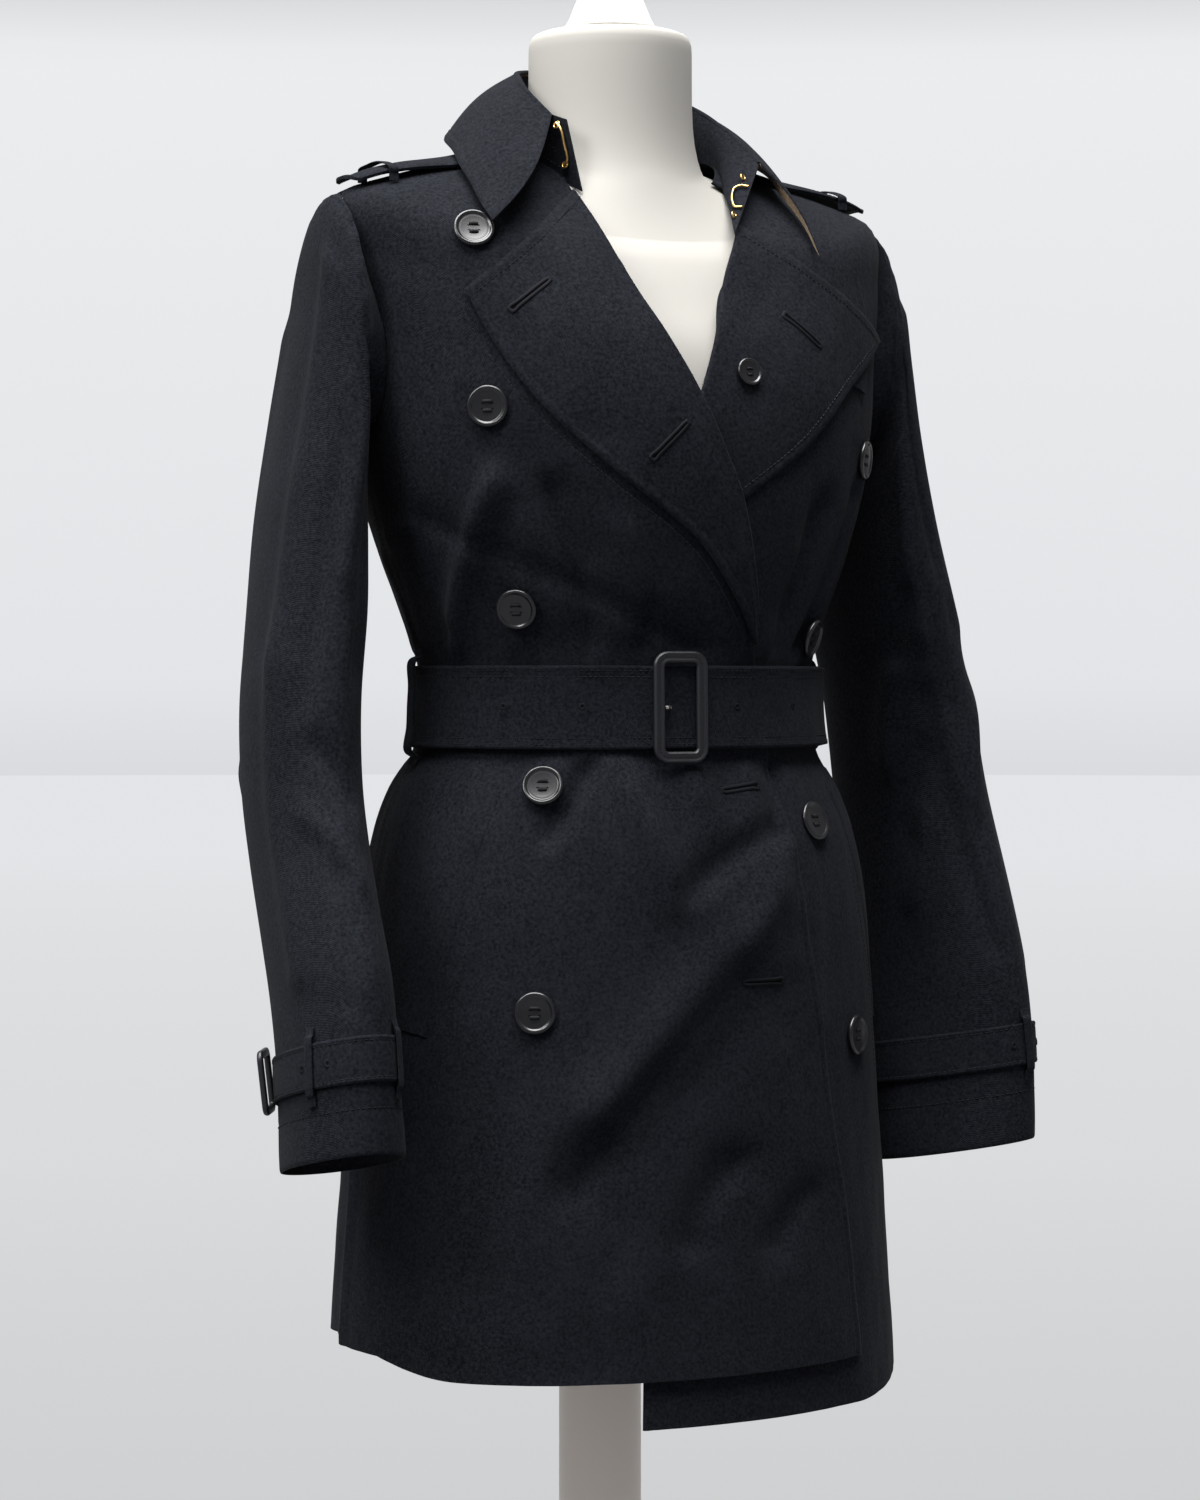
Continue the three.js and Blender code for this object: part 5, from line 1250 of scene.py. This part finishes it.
leaf_lines = [inset_row(fall_face, fall_normal, -0.05, EDGE_STITCH)]
for end, ahead in ((0, 1), (-1, -1)):
    inward = unit(fall_face[end + 6 * ahead, 14:-4] - fall_face[end, 14:-4])
    points = fall_face[end, 14:-4] + inward * EDGE_STITCH
    leaf_lines.append((points - fall_normal[end, 14:-4] * 0.3, -fall_normal[end, 14:-4]))
stitches("collar_leaf_stitches", leaf_lines)
down = unit(foot_line - ridge_line)
t = np.linspace(0, 1, 16)[None, :, None]
seam_in = STAND_BELOW - 5 * np.sin(np.pi * np.linspace(0, 1, COLLAR_STATIONS)[:, None]) ** 2
band = mix((ridge_line + down * 2.2)[:, None], (foot_line + down * seam_in)[:, None], t)
band = band + STAND_AHEAD * np.clip(1 - station, 0, 1) * (1 - t) * (0.4, -0.9, 0)
band_normal = unit(np.cross(np.gradient(band, axis=1), np.gradient(band, axis=0)))
band_piece = grid_object("collar_band", band, band + band_normal * WALL, [coat_cloth])
finish_cloth(band_piece, "collar_stand")
band_lines = [(band[6:-6, k] - band_normal[6:-6, k] * 0.05, -band_normal[6:-6, k]) for k in (4, 8, 12)]
stitches("collar_band_stitches", band_lines)

# Epaulettes: a doubled strap of twill on each shoulder, sewn in at the armhole side of the collar
# and arched off the shoulder under a keeper loop, with a stitched edge.
# x, rise, half
EPAULETTE_ROWS = [
    [92, 1.2, 24], [108, 1.6, 23], [124, 3, 22], [140, 4.8, 21], [154, 5.4, 20], [165, 5, 18],
    [171, 4.6, 14], [174, 4.4, 6],
]
EPAULETTE_THICK = 2.2
EPAULETTE_LOOP_X = 150


def shoulder_point(side, x, y):
    """The shoulder's outer face at x, y."""
    x, y = np.broadcast_arrays(np.asarray(x, float), np.asarray(y, float))
    level = mix(1387.0, 1436.0, np.clip((173 - x) / 107, 0, 1))
    angle, level = solve_surface(np.stack([side * x, y], -1), (0, 1), side * 90 + 0 * x, level)
    return body_at(angle, level, WALL + 0 * angle)


def epaulette(label, side):
    """One epaulette and its loop."""
    x = np.concatenate([np.linspace(92, 165, 40), np.linspace(165, 173.8, 16)[1:]])
    _, rise, half = np.moveaxis(table_curve(EPAULETTE_ROWS, x), -1, 0)
    share = np.linspace(-1, 1, 33)
    centre_y = NECK_CENTRE_Y + 4
    base = shoulder_point(side, np.minimum(x, 168)[:, None], centre_y + share[None] * half[:, None])
    base[..., 0] = side * x[:, None]
    base[..., 2] += rise[:, None]
    if side > 0:
        base = base[::-1]
    normal = grid_normals(base)
    edge = edge_distance(base, [base[:, 0], base[:, -1], base[-1 if side < 0 else 0]])
    outer = base + normal * (EPAULETTE_THICK + sewn_edge(edge, 5, 0.3))[..., None]
    piece = grid_object(f"epaulette_{label}_cloth", outer, base, [coat_cloth])
    finish_cloth(piece, f"epaulette_{label}")
    lines = []
    for way in (-1, 1):
        y = centre_y + way * (half - 5)
        points = shoulder_point(side, np.minimum(x, 168), y)
        points[:, 0] = side * x
        points[:, 2] += rise + EPAULETTE_THICK + 0.15
        lines.append((points[:44], np.repeat([[0, 0, 1.0]], 44, 0)))
    stitches(f"epaulette_{label}_stitches", lines)
    _, at_rise, at_half = table_curve(EPAULETTE_ROWS, 154.0)
    reach, over = at_half + 2.5, at_rise + EPAULETTE_THICK + 1.4
    y = np.array([-reach - 1, -reach - 0.4, -reach, -reach / 2, 0, reach / 2, reach, reach + 0.4,
                  reach + 1])
    up = np.array([1.4, over * 0.6, over, over, over, over, over, over * 0.6, 1.4])
    path = shoulder_point(side, EPAULETTE_LOOP_X + 0 * y, centre_y + y)
    path[:, 2] += up
    node = f"epaulette_loop_{label}"
    strap_piece(node + "_cloth", path, np.array([1.0, 0, 0]), 3, np.array([0, 0, 1.0]), 1.2, node)


epaulette("right", -1)
epaulette("left", 1)

# Buttons: black horn, turned with a raised rim and a dished middle, with four holes that are sunk
# near-black discs of painted shade, sewn on with dark thread that crosses in two bars. The front ones are
# 24 mm, the lapel's 16.5 mm.
horn = plain_material(
    "black horn", (0.0055, 0.0058, 0.007), 0.3, Specular_IOR_Level=0.35,
    Coat_Weight=0.35, Coat_Roughness=0.12,
)
# name, x, z, layer, clear, diameter
BUTTON_ROWS = [
    ["button_right_1", -120, 1358, "right", 0.9, 24], ["button_right_2", -119, 1256, "right", 0.9, 24],
    ["button_right_3", -97, 1142, "right", 0.9, 24], ["button_right_4", -86, 1037, "right", 0.9, 24],
    ["button_right_5", -99, 911, "right", 0.9, 24], ["button_left_2", 133, 1233, "left", 0.2, 24],
    ["button_left_3", 96, 1126, "left", 0.9, 24], ["button_left_4", 84, 1016, "left", -0.1, 24],
    ["button_left_5", 112, 889, "left", 0.9, 24], ["button_lapel", 33, 1278, "lapel", 0.2, 16.5],
]
# share of the radius, height
BUTTON_PROFILE = np.array([
    [0, 0], [0.5, 0], [0.84, 0.02], [0.93, 0.3], [0.985, 0.9], [1, 1.6], [1, 2.3], [0.975, 2.9],
    [0.93, 3.3], [0.88, 3.4], [0.83, 3.2], [0.79, 2.8], [0.755, 2.5], [0.72, 2.42], [0.66, 2.45],
    [0.62, 2.4], [0.45, 2.25], [0.25, 2.18], [0, 2.16],
])


def turned_points(profile, place, side, top, normal, count):
    """A profile of radius and height turned round a normal."""
    turn = np.linspace(0, 2 * np.pi, count + 1)[:-1]
    ray = np.cos(turn)[:, None] * side + np.sin(turn)[:, None] * top
    return place + profile[:, None, :1] * ray[None] + profile[:, None, 1:] * normal


def turned_object(name, profile, place, side, top, normal, count, materials, sharp=60):
    """A closed turned shape: the first and last rings shrink to a point each."""
    rings = turned_points(profile, place, side, top, normal, count)
    points = np.vstack([rings[0, :1], rings[1:-1].reshape(-1, 3), rings[-1, :1]])
    inner = tube_faces(len(profile) - 2, count, False)[:-2]
    faces = [[v + 1 for v in face] for face in inner]
    last = len(points) - 1
    start = 1 + (len(profile) - 3) * count
    faces += [[0, 1 + (j + 1) % count, 1 + j] for j in range(count)]
    faces += [[last, start + j, start + (j + 1) % count] for j in range(count)]
    return faces_object(name, points, faces, materials, sharp)


def button(name, x, z, layer, clear, diameter):
    """One button with its four holes, each a near-black disc of painted shade, and two bars of thread."""
    angle, level = locate(x, z)
    lift = {"right": right_lift(angle, level) + WALL, "left": WALL,
            "lapel": lapel_left_lift(angle, level, 0.0) + WALL}[layer]
    place = body_at(angle, level, lift + clear + 0 * angle)
    normal = body_normal(angle, level)
    side, top = facing(normal)
    radius = diameter / 2
    profile = BUTTON_PROFILE * (radius, 1)
    piece = turned_object(name + "_horn", profile, place, side, top, normal, 56, [horn])
    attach(piece, "root")
    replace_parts(piece, name)
    apart, size = radius * 0.22, radius * 0.11
    # Each hole is a sunk near-black disc of painted shade for the opening.
    for k, (a, b) in enumerate(((-1, -1), (1, -1), (-1, 1), (1, 1))):
        spot = place + side * a * apart + top * b * apart + normal * 2.14
        hole = np.array([[0, -0.3], [size, -0.3], [size * 1.15, 0.06], [size, 0.08], [0, 0.02]])
        dark = turned_object(f"{name}_hole_{k}", hole, spot, side, top, normal, 16, [painted_hole_shade])
        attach(dark, "root")
    for k, b in enumerate((-1, 1)):
        arch = np.linspace(-1, 1, 9)
        spine = (place + (arch * apart)[:, None] * side + top * b * apart
                 + (2.2 + 0.55 * (1 - arch**2))[:, None] * normal)
        rounds = np.linspace(0, 2 * np.pi, 9)[:-1]
        ring = spine[:, None] + size * 0.8 * (np.cos(rounds)[None, :, None] * top
                                               + 0.7 * np.sin(rounds)[None, :, None] * normal)
        bar = tube_object(f"{name}_thread_{k}", ring, [thread])
        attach(bar, "root")


for row in BUTTON_ROWS:
    button(*row)

# Belt: one doubled strap 50 mm wide with two rows of stitches at each edge. It starts behind the
# buckle, goes round the wearer's left and back, and laps over its own start. The buckle's frame
# is covered in leather, and only the tip of its steel prong shows through a hole.
BELT_LOW, BELT_WIDTH, BELT_THICK = 1059, 50, 2.0
BELT_START, BELT_TURN = 2, 468
BELT_LIFT = SKIRT_OVERLAP_LIFT + WALL + 1.0
BELT_TAIL_LIFT = BELT_LIFT + BELT_THICK + 0.9
BUCKLE_ANGLE = -4.5


def belt_point(turned, up, extra):
    """The belt's surface a number of degrees from its start and so far up its width."""
    lift = mix(BELT_LIFT, BELT_TAIL_LIFT, smooth(335, 352, turned)) + extra
    turned, up = np.broadcast_arrays(np.asarray(turned, float), np.asarray(up, float))
    return body_at(BELT_START + turned, BELT_LOW + up, lift, small=0)


belt_up = np.array([0, 0.4, 1.0, 1.8, 2.6, 3.4, 4.4, 5.4, 6.4, 7.6, 10, 14, 19, 25])
belt_up = np.concatenate([belt_up, BELT_WIDTH - belt_up[-2::-1]])[:, None]
belt_turned = np.linspace(0, BELT_TURN, 420)[None]
from_edge = np.minimum(belt_up, BELT_WIDTH - belt_up) + 0 * belt_turned
face = BELT_THICK + sewn_edge(from_edge, 2.6, 0.22) - 0.16 * np.exp(-((from_edge - 6.4) / 0.9) ** 2)
ripple = 0.25 * np.sin(belt_turned * 0.19 + 0.8) * np.sin(belt_up * 0.12)
ripple = ripple + 0.15 * np.sin(belt_turned * 0.47)
belt_outer = belt_point(belt_turned + 0 * belt_up, belt_up + 0 * belt_turned, face + ripple)
belt_inner = belt_point(belt_turned + 0 * belt_up, belt_up + 0 * belt_turned, 0 * face)
belt_piece = grid_object("belt_strap", belt_outer, belt_inner, [coat_cloth])
finish_cloth(belt_piece, "belt")
belt_rows = np.linspace(1, BELT_TURN - 1, 900)
stitches("belt_stitches", [
    (belt_point(belt_rows, up + 0 * belt_rows, BELT_THICK - 0.08),
     body_normal(BELT_START + belt_rows, BELT_LOW + up + 0 * belt_rows))
    for up in (2.6, 6.4, BELT_WIDTH - 6.4, BELT_WIDTH - 2.6)
])
for k, angle in enumerate((-52.0, -30.0, 13.0, 35.0)):
    spot = body_at(np.array(angle), np.array(1084.5), BELT_TAIL_LIFT + BELT_THICK + 0.1, small=0)
    worked_hole(f"belt_hole_{k}", spot, body_normal(angle, 1084.5), 1.8)

buckle_normal = body_normal(BUCKLE_ANGLE, BELT_LOW + BELT_WIDTH / 2)
buckle_place = body_at(np.array(BUCKLE_ANGLE), np.array(BELT_LOW + BELT_WIDTH / 2.0),
                       BELT_TAIL_LIFT + BELT_THICK + 1.8, small=0)
covered_frame("belt_buckle_frame", "belt_buckle", 34, 65, 7, 9, 3.6, buckle_place, buckle_normal)
buckle_side, buckle_top = facing(buckle_normal)
reach = np.linspace(-9.5, -4.5, 14)
prong_spine = (buckle_place + reach[:, None] * buckle_side
               + (1.3 - 3.6 * smooth(-8, -4.5, reach))[:, None] * buckle_normal)
rounds = np.linspace(0, 2 * np.pi, 13)[:-1]
prong_ring = prong_spine[:, None] + 1.15 * (
    np.cos(rounds)[None, :, None] * buckle_top + np.sin(rounds)[None, :, None] * buckle_normal)
prong = tube_object("belt_prong_pin", prong_ring, [steel])
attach(prong, "root")
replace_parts(prong, "belt_prong")

for label, angle, belt_lift in (("right", -90.0, BELT_LIFT), ("left", 90.0, BELT_TAIL_LIFT)):
    high = belt_lift + BELT_THICK + 1.9
    stations = [(-10, 2.4), (-5, 3.2), (-2, high), (12, high + 0.6), (25, high + 1), (38, high + 0.6),
                (52, high), (55, 3.2), (60, 2.4)]
    path = np.array([
        body_at(np.array(angle), np.array(BELT_LOW + up + 0.0), lift, small=0) for up, lift in stations
    ])
    across = unit(body_point(angle + 1, BELT_LOW) - body_point(angle - 1, BELT_LOW))
    node = f"belt_loop_{label}"
    strap_piece(node + "_cloth", path, across, 5.5, body_normal(angle, 1084.0), 1.6, node)

# The collar's fastening: a bent brass hook at one end and a straight brass eye at the other, each
# sewn on at two small rings. Each line gives the wire's middle.
brass = plain_material("brass wire", (0.55, 0.36, 0.13), 0.3, Metallic=1.0)
EYE_LINE = [
    [-55.4, -54.6, 1428.5], [-53.8, -57.9, 1424.3], [-52.4, -59.5, 1415.1], [-51.1, -60.6, 1406.1],
    [-52.1, -57.9, 1402.9],
]
HOOK_LINE = [
    [64.3, -71.1, 1396], [60.8, -68.2, 1396.8], [57, -67.3, 1395.2], [53.8, -70.2, 1391],
    [51.6, -74.4, 1386.5], [51, -79.2, 1382.3], [54, -82.3, 1382],
]


# place, across, along
EYE_RINGS = [
    [[-54.9, -54.1, 1427.3], [0.5, -0.8, 0.3], [0.2, 0.4, 0.9]],
    [[-51.3, -58.2, 1403.6], [0.5, -0.8, 0.3], [0.2, 0.4, 0.9]],
]
HOOK_RINGS = [
    [[65.2, -62.7, 1402.7], [0.8, 0.6, 0.1], [-0.3, 0.4, 0.87]],
    [[47.8, -84.0, 1376.6], [0.8, 0.6, 0.1], [-0.3, 0.4, 0.87]],
]
WIRE_RADIUS, RING_RADIUS, RING_WIRE_RADIUS = 0.8, 2.0, 0.6


def wire(name, line, radius, closed=False):
    """A round wire along a smooth line, with its rings square to it."""
    spine = through(line, 90)
    if closed:
        spine = spine[:-1]
    way = unit(np.gradient(spine, axis=0))
    first = unit(np.cross(way, (0.3, 0.5, 0.8)))
    second = np.cross(way, first)
    turn = np.linspace(0, 2 * np.pi, 13)[:-1]
    ring = spine[:, None] + radius * (np.cos(turn)[None, :, None] * first[:, None]
                                      + np.sin(turn)[None, :, None] * second[:, None])
    piece = tube_object(name, ring, [brass], closed=closed)
    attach(piece, "root")
    return piece


for part_name, line, rings in (
    ("collar_eye", EYE_LINE, EYE_RINGS), ("collar_hook", HOOK_LINE, HOOK_RINGS),
):
    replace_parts(wire(part_name + "_wire", line, WIRE_RADIUS), part_name)
    ring_turn = np.linspace(0, 2 * np.pi, 9)[:, None]
    for k, (place, across, along) in enumerate(np.array(rings)):
        circle = place + RING_RADIUS * (np.cos(ring_turn) * across + np.sin(ring_turn) * along)
        wire(f"{part_name}_ring_{k}", circle, RING_WIRE_RADIUS, closed=True)

# The dress form: a limbless torso with a smooth off-white cover, closed at the neck by a dark
# stained wood disc and a white turned cap, on a satin pole with a round base.
FORM_INSET, FORM_SHOULDER_INSET, FORM_BOTTOM = 8, 0.9, 884
NECK_TOP = 1490
POLE_RADIUS, BASE_RADIUS, BASE_THICK = 25, 165, 16
form_cover = plain_material("off white cover", (0.38, 0.366, 0.338), 0.75, Specular_IOR_Level=0.25)
wood = plain_material("dark stained wood", (0.17, 0.085, 0.04), 0.45)
cap_lacquer = plain_material("white satin lacquer", (0.86, 0.855, 0.84), 0.4, Specular_IOR_Level=0.35)
stand_metal = plain_material("satin stand", (0.82, 0.745, 0.67), 0.42, Specular_IOR_Level=0.5)

form_turn = np.linspace(0, 360, 121)[None, :-1]
form_levels = np.concatenate([np.arange(890.0, 1360, 10), np.arange(1360.0, 1412, 3)])[:, None]
on_shoulder = smooth(0.8, 0.98, np.abs(np.sin(np.radians(form_turn))))
seat = smooth(1372, 1386, form_levels) * (1 - smooth(1396, 1404, form_levels)) * on_shoulder
inset = mix(FORM_INSET, FORM_SHOULDER_INSET, seat)
form_at = np.broadcast_arrays(form_turn, form_levels)
form_rings = body_point(*form_at) - body_normal(*form_at) * inset[..., None]
bottom = form_rings[0] * (0.93, 0.93, 0) + (0, -18 * 0.07, FORM_BOTTOM)
base_rings = [
    bottom * (0.02, 0.02, 1) + (0, -17, 0), bottom * (0.98, 0.98, 1), mix(bottom, form_rings[0], 0.5),
]
around = np.radians(form_turn[0])
# radius, level, how much lower its front is
NECK_ROWS = [
    [57.5, 1411, 18.5], [55, 1416, 17], [53, 1422, 15], [51.3, 1429, 12], [50.1, 1438, 8],
    [49.6, 1450, 3.5], [49.5, 1464, 1], [49.5, 1478, 0], [49.3, 1483, 0], [48.4, 1486.6, 0],
    [46.4, 1488.9, 0], [43.5, 1490, 0], [20, 1490, 0], [1, 1490, 0],
]
neck_rings = [
    np.stack([r * np.sin(around), NECK_CENTRE_Y - r * np.cos(around), z - slope * np.cos(around)], -1)
    for r, z, slope in NECK_ROWS
]
torso = tube_object("form_torso_cover", np.stack([*base_rings, *form_rings, *neck_rings]), [form_cover])
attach(torso, "root")
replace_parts(torso, "form_torso")

disc_top = NECK_TOP + SEAM_GAP + 3
cap_low = disc_top + SEAM_GAP
UPRIGHT = (np.array([1.0, 0, 0]), np.array([0, 1.0, 0]), np.array([0, 0, 1.0]))
# name, node, slot, material, centre y, profile
STAND_ROWS = [
    ["neck_disc_wood", "neck_disc", "wood", wood, NECK_CENTRE_Y, [
        [0, NECK_TOP + SEAM_GAP], [18.6, NECK_TOP + SEAM_GAP], [19, NECK_TOP + 0.7], [19, disc_top - 0.4],
        [18.6, disc_top], [0, disc_top]]],
    ["neck_cap_lacquer", "neck_finial", "cap_lacquer", cap_lacquer, NECK_CENTRE_Y, [
        [0, cap_low], [27.4, cap_low], [28, cap_low + 0.5], [28, cap_low + 1.4], [27, cap_low + 2.6],
        [25, cap_low + 6], [22, disc_top + 14], [19, disc_top + 21], [17, disc_top + 26],
        [15.8, disc_top + 31], [14.5, disc_top + 34.5], [11, disc_top + 37.3], [6, disc_top + 38.6],
        [0, disc_top + 39]]],
    ["pole_tube", "pole", "stand_metal", stand_metal, 0, [
        [0, BASE_THICK + SEAM_GAP], [POLE_RADIUS - 0.4, BASE_THICK + SEAM_GAP],
        [POLE_RADIUS, BASE_THICK + 0.8], [POLE_RADIUS, 300], [POLE_RADIUS, 600],
        [POLE_RADIUS, FORM_BOTTOM - 0.8],
        [POLE_RADIUS - 0.4, FORM_BOTTOM - SEAM_GAP], [0, FORM_BOTTOM - SEAM_GAP]]],
    ["base_disc", "base", "stand_metal", stand_metal, 0, [
        [0, 0], [BASE_RADIUS - 0.8, 0], [BASE_RADIUS, 0.8], [BASE_RADIUS, BASE_THICK - 3],
        [BASE_RADIUS - 0.9, BASE_THICK - 0.9], [BASE_RADIUS - 3, BASE_THICK], [60, BASE_THICK],
        [0, BASE_THICK]]],
]
for name, node, slot, material, centre_y, profile in STAND_ROWS:
    centre = np.array([0, centre_y, 0.0])
    piece = turned_object(name, np.array(profile, float), centre, *UPRIGHT, 96, [material], 35)
    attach(piece, "root")
    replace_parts(piece, node)
